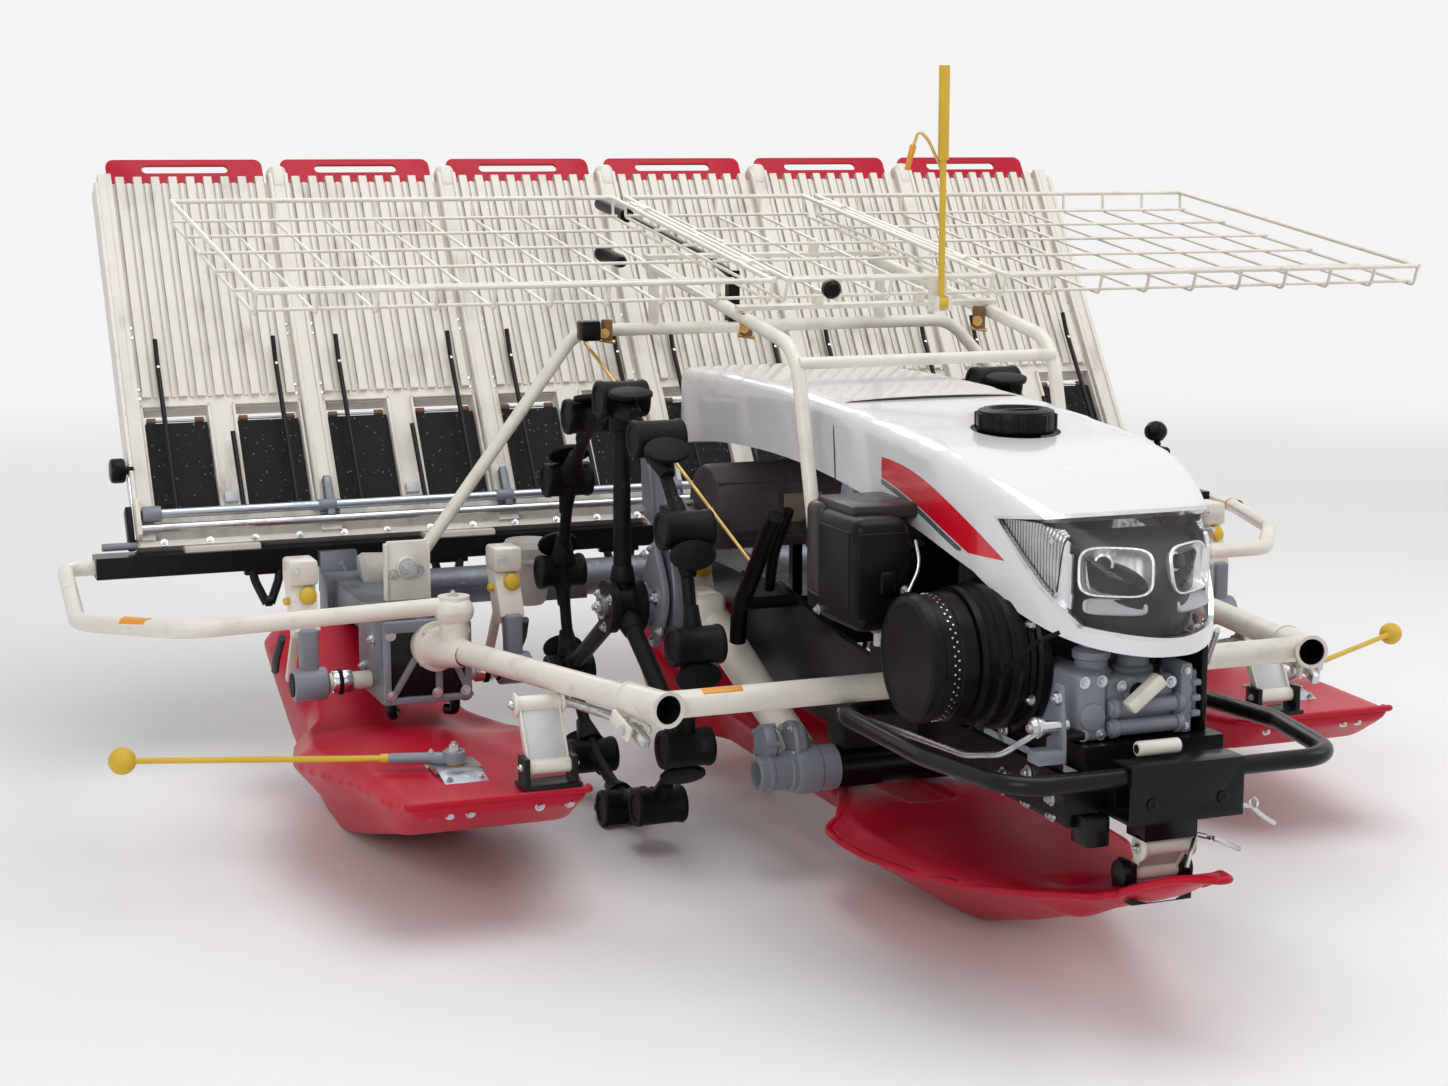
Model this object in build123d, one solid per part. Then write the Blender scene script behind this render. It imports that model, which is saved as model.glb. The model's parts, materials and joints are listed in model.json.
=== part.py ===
"""Walk-behind six-row rice transplanter: every visible sub-part at its real size, in millimetres.

Frame: +Z up, floor at Z = 0, the nose points to -Y and the handlebars to +Y, X = 0 is the plane of symmetry.
The origin is the middle of the overall length and width, on the floor.
"""

import os
from math import atan2, cos, degrees, hypot, radians, sin

from build123d import *

# ---------------------------------------------------------------- driving dimensions
FRONT_Y = -1165.0            # tip of the centre float
REAR_Y = 1165.0              # ends of the handlebar grips
GUARD_HALF = 1075.0          # half the overall width, over the side guards
ROW_PITCH = 300.0            # distance between planted rows
ROWS = 6
RUN_CLEAR = 0.3              # gap between pieces that turn or slide on each other
MOVE_CLEAR = 6.0             # least gap beside a piece that moves

# wheels
WHEEL_X = 300.0              # middle plane of each wheel
WHEEL_R = 330.0              # over the rubber lugs
AXLE_Y = -34.0
AXLE_Z = WHEEL_R
RING_R = 284.0               # centreline of the wheel's ring
RING_TUBE = 18.0
SPOKE_D = 26.0
SPOKES = 3
HUB_D = 78.0
HUB_L = 56.0
LUGS = 12
LUG_D = 52.0
LUG_L = 74.0
AXLE_D = 28.0

# seedling platform, measured down its slope (s) and out from its top face (n)
TRAY_TOP_Y = 940.0
TRAY_TOP_Z = 941.0
TRAY_SLOPE = 56.7
TRAY_HALF = 905.0
TRAY_T = 28.0                # thickness of the ribbed plate
TRAY_LEN = 690.0
TRAY_TRAVEL = 140.0          # sideways travel each way
WINDOW_S = 452.0             # upper edge of the feed windows
WINDOW_END_S = 640.0
WINDOW_W = 104.0
WINDOW_X = 75.0              # each section has a window this far either side of its middle
DIVIDER_W = 34.0
DIVIDER_H = 14.0
RIB_H = 7.0
RIB_W = 14.0
RIBS = 9                     # ribs in one section
SIDE_FRAME_T = 8.0
SIDE_FRAME_H = 46.0
TRAY_START = 20.0            # the plate's upper edge, down the slope from the reference edge
RIB_START = 10.0
DIVIDER_START = 8.0
CHEEK_START = 26.0
BELT_T = 21.0
BELT_SUNK = 3.0              # how far the belts lie below the platform's face
EXTENSION_UP = 47.0          # how far the crimson plates stand above the reference edge
EXTENSION_DOWN = 110.0
GRIP_SLOT_HALF = 78.0
GRIP_SLOT_S = -34.0          # upper edge of the grip slot in each crimson plate
GRIP_SLOT_H = 11.0
EXTENSION_W = 268.0
EXTENSION_T = 6.0
LOWER_RAIL_H = 10.0
LOWER_RAIL_DEEP = 10.0       # how far the lower rail reaches below the top face

# guide rail that the platform slides on, and the guards beside it
GUARD_D = 24.0
GUIDE_RIGHT = 980.0          # the rail's end on the -X side
GUIDE_LEFT = GUARD_HALF - GUARD_D    # and on the +X side, where it meets the guard
GUIDE_Y0 = 525.0
GUIDE_Y1 = 575.0
GUIDE_H = 34.0

# tubes
BOOM_D = 34.0
BOOM_SLEEVE_D = 42.0
BOOM_BORE_R = 17.5
BOOM_BORE_L = 60.0
FRAME_D = 19.0
BUMPER_D = 22.0
HANDLE_D = 32.0
BEAM_D = 60.0

# seedling racks
RACK_HALF = 870.0
RACK_HINGE_X = 165.0
RACK_FRONT_Y = -302.0
RACK_FRONT_Z = 813.0
RACK_REAR_Y = 366.0
RACK_REAR_Z = 908.0
RACK_DEEP = 30.0
RIM_D = 7.0
WIRE_D = 4.6
WIRE_PITCH = 75.0

# hood
HOOD_HALF = 150.0
HOOD_T = 4.0
HOOD_NOSE_Y = -1052.0
HOOD_REAR_Y = 168.0
CAP_Y = -665.0
CAP_D = 100.0
CAP_H = 30.0
NECK_D = 62.0

# floats
SIDE_FLOAT_X = 2 * ROW_PITCH
FLOAT_KEEL_Z = 0.0

# planting
CASE_Y = -60.0               # front face of each planting case
CASE_W = 124.0
BEAM_Y = 440.0
BEAM_Z = 286.0
ARM_OFF = ROW_PITCH / 2      # each case has an arm this far either side

# wheels and their drive
PIVOT_Y = -365.0             # cross tube that the swing arms turn on
PIVOT_Z = 152.0
PIVOT_D = 56.0
PIVOT_HALF = 172.0           # outer faces of the swing arms
PIVOT_TUBE_HALF = 108.0
PIVOT_TUBE_D = 60.0
TIE_TOP_Z = 232.0
SWING_D = 56.0
CASE_IN_X = 214.0            # inner face of the wheel's gear case
CASE_OUT_X = WHEEL_X - HUB_D / 2 - MOVE_CLEAR
CASE_BOSS_D = 64.0
SLEEVE_END_X = 224.0
SLEEVE_END_D = 46.0

# chassis, engine and nose
RAIL_X = 116.0               # outer face of each chassis rail
RAIL_T = 10.0
RAIL_TOP_Z = 300.0
BED_TOP_Z = 330.0
BED_HALF = 90.0
ENGINE_HALF = 92.0
ENGINE_Y0 = -860.0
ENGINE_Y1 = -560.0
ENGINE_TOP_Z = 520.0
RECOIL_Y = -840.0
RECOIL_Z = 408.0
RECOIL_D = 153.0
RECOIL_X = 236.0
SHROUD_D = 196.0
SHROUD_X = 172.0
SHROUD_RIM_X = 156.0         # the wide rim stays outside the hood's skin
SHROUD_CORE_D = 150.0
CLEANER_X = 252.0
CLEANER_Y = (-745.0, -605.0)
CLEANER_Z = (419.0, 556.0)
CLEANER_GAP = 6.0            # between the air cleaner's box and the fan shroud's rim
CAP_BOTTOM_Z = 642.0
MUFFLER_X = (-205.0, 128.0)
MUFFLER_Y = -110.0
MUFFLER_Z = 480.0
MUFFLER_D = 124.0
NOSE_PLATE_Y = -1082.0       # front face of the bumper's plate
NOSE_PLATE_T = 5.0
NOSE_PLATE_HALF = 72.0
NOSE_PLATE_Z0 = 256.0
NOSE_HANGER_Z0 = 226.0       # underside of the hanger that takes the nose link
NOSE_HANGER_HALF = 34.0
NOSE_BOLT_X = 45.0
NOSE_BOLT_Z = 279.0
NOSE_BOLT_R = 4.5
BUMPER_Z = 308.0
BUMPER_HALF = 238.0
CHASSIS_FRONT_Y = -1010.0
LUG_X = 128.0                # face of the lugs that hold the booms
BOOM_Y = -628.0
BOOM_Z = 325.0
LUG_TOP_Z = BOOM_Z + 32.0
FRAME_FOOT_Y = -540.0        # feet of the rack frame, on the lugs
MAIN_BEAM_HALF = 40.0
MAIN_BEAM_Z0 = 272.0
MAIN_BEAM_Z1 = 330.0
BEAM_FACE_Y = BEAM_Y - BEAM_D / 2

# hood and headlight
STAY_Y0 = -44.0              # bracket that carries the hood's rear end
STAY_Y1 = -30.0
STAY_TOP_Z = 596.0
STAY_HALF = 142.8            # reaches the hood's inner walls
LAMP_GAP = 0.4               # seam round the headlight
LAMP_DEEP = 26.0             # how far the headlight reaches in behind the hood's skin
LAMP_SIDE = [(-1060, 450), (-1060, 574), (-1010, 592), (-866, 574), (-935, 500), (-990, 458)]

# floats
RIM_DROP = 0.18              # share of a float's depth between its deck and its rim
DECK_FLAT = 0.82             # share of a float's width that is flat deck
CENTRE_HULL = [
    # y, deck half-width, deck z, keel half-width, keel z
    (FRONT_Y, 7, 213, 5, 205),
    (-1112, 30, 203, 10, 188),
    (-1054, 60, 176, 18, 158),
    (-988, 84, 156, 22, 130),
    (-905, 104, 138, 24, 98),
    (-850, 120, 131, 24, 76),
    (-773, 140, 126, 24, 48),
    (-699, 162, 124, 24, 24),
    (-620, 176, 122, 24, 4),
    (-540, 178, 120, 24, FLOAT_KEEL_Z),
    (-470, 168, 118, 24, FLOAT_KEEL_Z),
    (-440, 148, 116, 60, 40),
    (-340, 96, 113, 62, 60),
    (140, 84, 128, 60, 60),
    (236, 162, 234, 120, 66),
    (330, 162, 258, 120, 66),
    (392, 150, 240, 110, 90),
]
SIDE_DECK_Z = 188.0
SIDE_HULL_X = 612.0          # the side floats sit a little outside their planting cases
SIDE_HULL = [
    (-472, 120, SIDE_DECK_Z, 104, 172),
    (-400, 136, SIDE_DECK_Z, 110, 128),
    (-290, 150, SIDE_DECK_Z, 100, 98),
    (-180, 172, 180, 96, 70),
    (-60, 186, 172, 92, 34),
    (60, 160, 168, 88, 6),
    (110, 130, 170, 84, FLOAT_KEEL_Z),
    (190, 110, 184, 84, FLOAT_KEEL_Z),
    (236, 122, 216, 90, 20),
    (330, 136, 258, 100, 70),
    (392, 138, 260, 100, 96),
]
SLOT_HALF = 31.0
LINK_TOP = (-404, 287)       # (y, z) of the pins of the links on the side floats
LINK_FOOT = (-446, 214)
LINK_OFF = 58.0              # the link sits this far inboard of the float's middle
NOSE_LINK_TOP = (-1036, 216)
NOSE_LINK_FOOT = (-1012, 180)
TEE = (-462.0, BOOM_Y, BOOM_Z)
STAY_ROD_D = 12.0
STAY_END = (-476.0, -576.0, 295.2)    # under the boom's sleeve
LINK_W = 44.0
NOSE_LINK_W = 46.0
LINK_T = 8.0
LINK_PIN_OUT = 6.0           # how far a link's pins stand out each side

# planting units and beam
CASE_Z0 = 214.0
CASE_Z1 = 336.0
CASE_L = 156.0
NECK_HALF = 30.0
NECK_Z0 = 268.0
NECK_Z1 = 316.0
CRANK_Y = 22.0
CRANK_Z = 238.0
CRANK_D = 46.0
ARM_W = 36.0
ARCH_FOOT_Y = 64.0
ARCH_FOOT_Z = 392.0
HANDLE_X = 250.0

# guide rail and handlebars
GUARD_BOSS_Z = 352.0
GUARD_REAR_X = 1026.0        # the guards come in towards their rear corners
GUARD_REAR_R = 32.0
UPPER_RAIL_S = 185.0
UPPER_RAIL_W = 30.0
UPPER_RAIL_HALF = 600.0
UPPER_RAIL_N = -TRAY_T - 46.0
HANDLE_N = UPPER_RAIL_N - HANDLE_D / 2
HANDLE_Z = 820.0
HANDLE_CROSS_S = 180.0       # crossbar that carries the control box
HANDLE_CROSS_D = 26.0
GRIP_L = 122.0
GRIP_D = 36.0

# seedling platform
BAR_S = 651.0
BAR_N = 26.0
BAR_D = 13.0
PRESS_D = 8.0
PRESS_X = 97.0               # long fingers either side of a section's middle
PRESS_N = 20.0
PRESS_KNEE_S = 380.0
PRESS_TOP_S = 336.0
SHORT_PRESS_X = 10.0
SHORT_PRESS_S = 508.0
FEED_S = 674.0
FEED_N = 22.0
FEED_D = 14.0
FRAME_N = 36.0
SHOE_H = 8.0
BELT_GAP = 24.0              # see-through gap above each feed belt

# frames and seedling racks
RACK_TILT = degrees(atan2(RACK_REAR_Z - RACK_FRONT_Z, RACK_REAR_Y - RACK_FRONT_Y))
RACK_LEN = hypot(RACK_REAR_Z - RACK_FRONT_Z, RACK_REAR_Y - RACK_FRONT_Y)
CARRIER_X = 188.0
CARRIER_DROP = 64.0          # from the rim's centreline down to the carrier's
ARCH_TOP_Z = 717.0
ARCH_TOP_Y = 140.0
ARCH_TOP_X = 310.0
POLE_X = 67.0
POLE_Y = -319.0
POLE_Z = 778.0
POLE_PIN_D = 5.0
POLE_EYE_D = 16.0
POLE_TOP_Z = 1098.0
POLE_D = 9.0
POLE_GRIP_D = 15.0
POLE_GRIP_L = 126.0
HINGE_R = 8.0
HINGE_PIN_D = 7.0
CLAMP_FRONT_U = 70.0
CLAMP_REAR_U = 446.0
CLAMP_POST_X = 77.2          # under a wire of the centre rack
LEVER_X = -60.0

# pole and row markers
MARKER_X = 632.0
MARKER_Y = -323.0
MARKER_ARM = 430.0
MARKER_ROD_D = 8.0
MARKER_BALL_D = 36.0
MARKER_PIN_D = 9.0
MARKER_PLATE_T = 8.0
MARKER_EYE_H = 14.0
MARKER_REST_RIGHT = 19.0     # swung back from straight out, in degrees
MARKER_REST_LEFT = 31.0

os.makedirs("parts", exist_ok=True)
NODES = {}


# ---------------------------------------------------------------- helpers
def box(x0, x1, y0, y1, z0, z1):
    """A box between two corners."""
    size = (abs(x1 - x0), abs(y1 - y0), abs(z1 - z0))
    return Pos((x0 + x1) / 2, (y0 + y1) / 2, (z0 + z1) / 2) * Box(*size)


def rod(start, end, diameter):
    """A round bar between two points."""
    a = Vector(*start)
    b = Vector(*end)
    plane = Plane(origin=a, z_dir=b - a)
    return extrude(plane * Circle(diameter / 2), (b - a).length)


def bar(start, end, width, depth, across=(1, 0, 0)):
    """A rectangular bar between two points; width is measured along the direction across."""
    a = Vector(*start)
    b = Vector(*end)
    plane = Plane(origin=a, x_dir=Vector(*across), z_dir=b - a)
    return extrude(plane * Rectangle(width, depth), (b - a).length)


def pipe(points, diameter, bend):
    """A bent round bar along points, with one bend radius or a list of them."""
    path = FilletPolyline(*points, radius=bend)
    section = Plane(origin=path @ 0, z_dir=path % 0) * Circle(diameter / 2)
    return sweep(section, path=path)


def disc_x(x0, x1, y, z, diameter):
    """A cylinder along X."""
    return rod((x0, y, z), (x1, y, z), diameter)


def prism_x(points, x0, x1):
    """A flat outline of (y, z) points, extruded along X from x0 to x1."""
    face = make_face(Polyline(*[(y, z) for y, z in points], close=True))
    return Pos(x0, 0, 0) * extrude(Plane.YZ * face, x1 - x0)


def joined(*pieces):
    """One body fused from all the pieces."""
    flat = []
    for piece in pieces:
        flat.extend(piece if isinstance(piece, (list, tuple)) else [piece])
    return flat[0] + flat[1:] if len(flat) > 1 else flat[0]


def mirrored(shape):
    """The same piece on the other side of the machine."""
    return mirror(shape, about=Plane.YZ)


def save(name, shape):
    """Keep a finished node for export."""
    NODES[name] = shape


def save_set(name, shapes):
    """Keep separate like solids as one node."""
    solids = []
    for shape in shapes:
        solids.extend(shape.solids())
    NODES[name] = Compound(children=solids)


def save_pair(name, shape):
    """Keep a piece and its mirror image as one node."""
    save_set(name, [shape, mirrored(shape)])


def slope_point(s, n, x=0.0):
    """A point s down the platform's slope and n out from its top face."""
    a = radians(TRAY_SLOPE)
    return (x, TRAY_TOP_Y - s * cos(a) - n * sin(a), TRAY_TOP_Z - s * sin(a) + n * cos(a))


def slope_box(x0, x1, s0, s1, n0, n1):
    """A box lying on the platform's slope."""
    a = radians(TRAY_SLOPE)
    plane = Plane(origin=slope_point(0, 0), x_dir=(1, 0, 0), z_dir=(0, -sin(a), cos(a)))
    local = Pos((x0 + x1) / 2, -(s0 + s1) / 2, (n0 + n1) / 2) * Box(x1 - x0, s1 - s0, n1 - n0)
    return plane.location * local


SECTION_X = [ROW_PITCH * (i - (ROWS - 1) / 2) for i in range(ROWS)]


# ---------------------------------------------------------------- wheels and their drive
def wheel():
    """One lugged wheel about the X axis, centred on its hub."""
    ring = Plane.YZ * Torus(RING_R, RING_TUBE / 2)
    pieces = [ring, disc_x(-HUB_L / 2, HUB_L / 2, 0, 0, HUB_D)]
    for i in range(SPOKES):
        a = radians(90 + 360 / SPOKES * i)
        pieces.append(rod((0, 0, 0), (0, RING_R * cos(a), RING_R * sin(a)), SPOKE_D))
    lug_r = WHEEL_R - LUG_D / 2
    for i in range(LUGS):
        a = radians(90 + 360 / LUGS * i)
        pieces.append(disc_x(-LUG_L / 2, LUG_L / 2, lug_r * cos(a), lug_r * sin(a), LUG_D))
    bore = disc_x(-HUB_L, HUB_L, 0, 0, AXLE_D + 2 * RUN_CLEAR)
    return joined(pieces) - bore


def gear_case():
    """Long flat gear case beside the wheel, with its axle, on the -X side."""
    outline = [
        (AXLE_Y - 34, AXLE_Z - 62), (AXLE_Y + 30, AXLE_Z - 42), (AXLE_Y + 44, AXLE_Z + 20),
        (AXLE_Y + 20, AXLE_Z + 98), (AXLE_Y - 10, AXLE_Z + 118), (AXLE_Y - 44, AXLE_Z + 104),
        (AXLE_Y - 66, AXLE_Z + 30), (AXLE_Y - 62, AXLE_Z - 30),
    ]
    body = prism_x(outline, -CASE_OUT_X + 10, -CASE_IN_X)
    boss = disc_x(-WHEEL_X + HUB_L / 2 + RUN_CLEAR, -CASE_IN_X, AXLE_Y, AXLE_Z, CASE_BOSS_D)
    axle = disc_x(-WHEEL_X - HUB_L / 2 - 8, -CASE_IN_X, AXLE_Y, AXLE_Z, AXLE_D)
    return joined(body, boss, axle)


def swing_arm():
    """Cream arm from the cross tube up to the wheel's gear case, on the -X side."""
    low_x = -PIVOT_HALF + SWING_D / 2 + MOVE_CLEAR
    knee = box(-CASE_IN_X, -CASE_IN_X + 50, AXLE_Y - 62, AXLE_Y + 20, AXLE_Z - 44, AXLE_Z + 34)
    tube = rod((low_x, PIVOT_Y, PIVOT_Z), (-CASE_IN_X + 32, AXLE_Y - 30, AXLE_Z - 6), SWING_D)
    foot = disc_x(-PIVOT_HALF, -PIVOT_TUBE_HALF, PIVOT_Y, PIVOT_Z, 76)
    return joined(tube, knee, foot)


def pivot_sleeve():
    """Grey casting outside the swing arm that closes its pivot, on the -X side."""
    body = disc_x(-PIVOT_HALF - 34, -PIVOT_HALF, PIVOT_Y, PIVOT_Z, PIVOT_D)
    nose = disc_x(-SLEEVE_END_X, -PIVOT_HALF - 30, PIVOT_Y, PIVOT_Z, SLEEVE_END_D)
    ear = box(-PIVOT_HALF - 34, -PIVOT_HALF - 8, PIVOT_Y - 26, PIVOT_Y + 30, PIVOT_Z, PIVOT_Z + 62)
    return joined(body, nose, ear)


def build_wheels():
    one = wheel()
    save("wheel_right", Pos(-WHEEL_X, AXLE_Y, AXLE_Z) * one)
    save("wheel_left", Pos(WHEEL_X, AXLE_Y, AXLE_Z) * mirrored(one))
    save_pair("gear_cases", gear_case())
    save_pair("swing_arms", swing_arm())
    save_pair("pivot_sleeves", pivot_sleeve())
    save("pivot_tube", disc_x(-PIVOT_TUBE_HALF, PIVOT_TUBE_HALF, PIVOT_Y, PIVOT_Z, PIVOT_TUBE_D))


# ---------------------------------------------------------------- chassis, engine and nose
def build_chassis():
    rail = [
        (-40, 256), (-40, 372), (-170, 376), (-400, 340), (-560, 326), (-620, RAIL_TOP_Z),
        (CHASSIS_FRONT_Y, RAIL_TOP_Z), (CHASSIS_FRONT_Y, 250), (-560, 232), (-400, 214), (-200, 214),
    ]
    side = prism_x(rail, -RAIL_X, -RAIL_X + RAIL_T)
    lug = box(-LUG_X, -RAIL_X + 2, BOOM_Y - 36, FRAME_FOOT_Y + 20, 262, LUG_TOP_Z)
    inner = RAIL_X - RAIL_T
    ties = [
        box(-inner, inner, -140, -60, 270, RAIL_TOP_Z),
        box(-inner, inner, -560, -530, 250, RAIL_TOP_Z),
        box(-inner, inner, CHASSIS_FRONT_Y, CHASSIS_FRONT_Y + 14, 254, RAIL_TOP_Z),
        box(-BED_HALF, BED_HALF, CHASSIS_FRONT_Y, -520, RAIL_TOP_Z, BED_TOP_Z),
        box(-inner, inner, PIVOT_Y - 28, PIVOT_Y + 28, PIVOT_Z + PIVOT_TUBE_D / 2, TIE_TOP_Z),
    ]
    save("chassis_rails", joined(side, mirrored(side), lug, mirrored(lug), ties))
    beam = box(-MAIN_BEAM_HALF, MAIN_BEAM_HALF, -60, BEAM_FACE_Y, MAIN_BEAM_Z0, MAIN_BEAM_Z1)
    save("main_beam", beam)


def build_engine():
    block = box(-ENGINE_HALF, ENGINE_HALF, ENGINE_Y0, ENGINE_Y1, BED_TOP_Z, ENGINE_TOP_Z)
    save("engine_block", block)
    rim = disc_x(-SHROUD_X, -SHROUD_RIM_X, RECOIL_Y, RECOIL_Z, SHROUD_D)
    core = disc_x(-SHROUD_RIM_X - 1, -ENGINE_HALF, RECOIL_Y, RECOIL_Z, SHROUD_CORE_D)
    save("fan_shroud", joined(rim, core))
    rim = disc_x(-RECOIL_X + 10, -SHROUD_X, RECOIL_Y, RECOIL_Z, RECOIL_D)
    face = disc_x(-RECOIL_X, -RECOIL_X + 12, RECOIL_Y, RECOIL_Z, RECOIL_D - 16)
    save("recoil_starter", joined(rim, face))
    can = box(-CLEANER_X, -SHROUD_X - CLEANER_GAP, *CLEANER_Y, *CLEANER_Z)
    stub = box(-SHROUD_X - CLEANER_GAP - 4, -ENGINE_HALF, -700, -640, 450, 510)
    save("air_cleaner", joined(fillet(can.edges(), 14), stub))
    tank = box(-88, 88, CAP_Y - 105, CAP_Y + 95, ENGINE_TOP_Z, 618)
    neck = rod((0, CAP_Y, 610), (0, CAP_Y, CAP_BOTTOM_Z), NECK_D)
    save("fuel_tank", joined(tank, neck))
    save("fuel_cap", rod((0, CAP_Y, CAP_BOTTOM_Z), (0, CAP_Y, CAP_BOTTOM_Z + CAP_H), CAP_D))
    drum = disc_x(*MUFFLER_X, MUFFLER_Y, MUFFLER_Z, MUFFLER_D)
    stay = box(-30, 30, MUFFLER_Y - 28, MUFFLER_Y + 28, RAIL_TOP_Z, MUFFLER_Z - 30)
    save("muffler", joined(drum, stay))


def build_nose():
    case = box(-BED_HALF, 70, CHASSIS_FRONT_Y + 14, -884, BED_TOP_Z, 424)
    pots = [rod((x, -946, 420), (x, -946, 448), 40) for x in (-66, 10)]
    ribs = [disc_x(-96, 60, CHASSIS_FRONT_Y + 14, z, 20) for z in (352, 380)]
    save("front_gearbox", joined(case, pots, ribs))
    half = NOSE_PLATE_HALF
    back = NOSE_PLATE_Y + NOSE_PLATE_T
    tube_y = back + BUMPER_D / 2
    top = BUMPER_Z + BUMPER_D / 2
    plate = box(-half, half, NOSE_PLATE_Y, back, NOSE_PLATE_Z0, top + 4)
    for x in (-NOSE_BOLT_X, NOSE_BOLT_X):
        plate -= rod((x, NOSE_PLATE_Y - 1, NOSE_BOLT_Z), (x, back + 1, NOSE_BOLT_Z), 2 * NOSE_BOLT_R)
    lid = box(-half, half, back, back + 34, top, top + 4)
    floor = box(-half, half, back, CHASSIS_FRONT_Y, NOSE_PLATE_Z0, NOSE_PLATE_Z0 + 5)
    root = box(-60, 60, CHASSIS_FRONT_Y - 18, CHASSIS_FRONT_Y, NOSE_PLATE_Z0, RAIL_TOP_Z - 4)
    hanger = box(-NOSE_HANGER_HALF, NOSE_HANGER_HALF, NOSE_LINK_TOP[0] - 14, CHASSIS_FRONT_Y,
                 NOSE_HANGER_Z0, NOSE_PLATE_Z0 + 2)
    save("nose_plate", joined(plate, lid, floor, root, hanger))
    path = [
        (-LUG_X, -556, 280), (-150, -556, 280), (-226, -660, 300), (-BUMPER_HALF, -900, BUMPER_Z),
        (-205, tube_y, BUMPER_Z), (205, tube_y, BUMPER_Z), (BUMPER_HALF, -900, BUMPER_Z),
        (226, -660, 300), (150, -556, 280), (LUG_X, -556, 280),
    ]
    save("bumper_tube", pipe(path, BUMPER_D, [16, 60, 60, 56, 56, 60, 60, 16]))
    save("nose_upright", box(72, 80, -990, -884, BED_TOP_Z, 440))


# ---------------------------------------------------------------- hood and headlight
def hood_solid(inset, drop):
    """The hood's outer form pulled in by inset, with its lower edge carried down by drop."""
    rear = HOOD_REAR_Y - inset
    nose = HOOD_NOSE_Y + inset
    top = [(rear, 656 - inset), (-300, 664 - inset), (-700, 642 - inset)]
    brow = [(-700, 642 - inset), (-906 + inset / 2, 596 - inset), (nose + 16, 520 - inset)]
    chin = [(nose + 16, 520 - inset), (nose, 470), (nose + 10, 434 - drop)]
    side = [
        ThreePointArc(*top),
        ThreePointArc(*brow),
        ThreePointArc(*chin),
    ]
    if drop:
        side.append(Line((nose + 10, 434 - drop), (rear, 434 - drop)))
        side.append(Line((rear, 434 - drop), (rear, 656 - inset)))
    else:
        side.append(ThreePointArc((nose + 10, 434), (-965, 449), (-892, 474)))
        side.append(Line((-892, 474), (-832, 504)))
        side.append(ThreePointArc((-832, 504), (-742, 526), (-650, 540)))
        side.append(ThreePointArc((-650, 540), (-240, 572), (rear, 537)))
        side.append(Line((rear, 537), (rear, 656)))
    profile = Plane.YZ * make_face(Wire(side))
    length = extrude(profile, HOOD_HALF + 20, both=True)
    half = HOOD_HALF - inset
    cheek = (half - 52, -968 + inset)
    plan = [
        Line((half - 10, rear), (half, -120)),
        Line((half, -120), (half, -740)),
        ThreePointArc((half, -740), (half - 13.2, -857), cheek),
        ThreePointArc(cheek, (half - 92.2, -1020.2 + inset), (0, nose)),
    ]
    right = Wire(plan)
    left = mirror(right, about=Plane.YZ)
    close = Line((half - 10, rear), (10 - half, rear))
    outline = make_face(Wire([*right.edges(), *left.edges(), close]))
    column = extrude(outline, 800)
    return length & column


def lamp_zone(grow):
    """The wrap-round window in the nose, as a block across the hood."""
    face = make_face(Polyline(*LAMP_SIDE, close=True))
    if grow:
        face = offset(face, grow, kind=Kind.INTERSECTION)
    return extrude(Plane.YZ * face, HOOD_HALF + 20, both=True)


def build_hood():
    outer = hood_solid(0, 0)
    shell = outer - hood_solid(HOOD_T, 60) - lamp_zone(0)
    shell -= rod((0, CAP_Y, 560), (0, CAP_Y, 720), CAP_D + 2 * MOVE_CLEAR)
    save("hood", shell)
    lamp = (outer & lamp_zone(-LAMP_GAP)) - hood_solid(LAMP_DEEP, 60)
    save("headlight", lamp)
    post = [box(x - 8, x + 8, STAY_Y0, STAY_Y1, MAIN_BEAM_Z1, STAY_TOP_Z - 4) for x in (-28, 28)]
    yoke = box(-STAY_HALF, STAY_HALF, STAY_Y0, STAY_Y1, STAY_TOP_Z - 20, STAY_TOP_Z)
    save("hood_stay", joined(post, yoke))


# ---------------------------------------------------------------- floats
def hull(sections, x0=0.0):
    """A float lofted through (y, deck half-width, deck z, keel half-width, keel z) rows."""
    faces = []
    for y, deck_w, deck_z, keel_w, keel_z in sections:
        rim_z = deck_z - RIM_DROP * (deck_z - keel_z)
        outline = [
            (x0 - DECK_FLAT * deck_w, deck_z), (x0 + DECK_FLAT * deck_w, deck_z), (x0 + deck_w, rim_z),
            (x0 + keel_w, keel_z), (x0 - keel_w, keel_z), (x0 - deck_w, rim_z),
        ]
        plane = Plane(origin=(0, y, 0), x_dir=(1, 0, 0), z_dir=(0, -1, 0))
        faces.append(plane * make_face(Polyline(*outline, close=True)))
    return loft(faces, ruled=True)


def build_floats():
    centre = hull(CENTRE_HULL) - box(-SLOT_HALF, SLOT_HALF, -456, 120, 40, 150)
    save("centre_float", centre)
    save_pair("side_floats", hull(SIDE_HULL, -SIDE_HULL_X))


def float_hanger(x0, top_z):
    """Black bracket from a float's raised tail up to the beam above it."""
    plate = box(x0 - 26, x0 + 26, 326, 334, 256, top_z)
    web = box(x0 - 5, x0 + 5, 300, 360, 260, top_z)
    return joined(plate, web)


def front_link(x0, top, foot, width, thick):
    """Cream plate from a pin at top down to a pin at foot, both as (y, z)."""
    plate = bar((x0, top[0], top[1]), (x0, foot[0], foot[1]), width, thick)
    half = width / 2 + LINK_PIN_OUT
    pins = [disc_x(x0 - half, x0 + half, y, z, 20) for y, z in (top, foot)]
    return joined(plate, pins)


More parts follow.
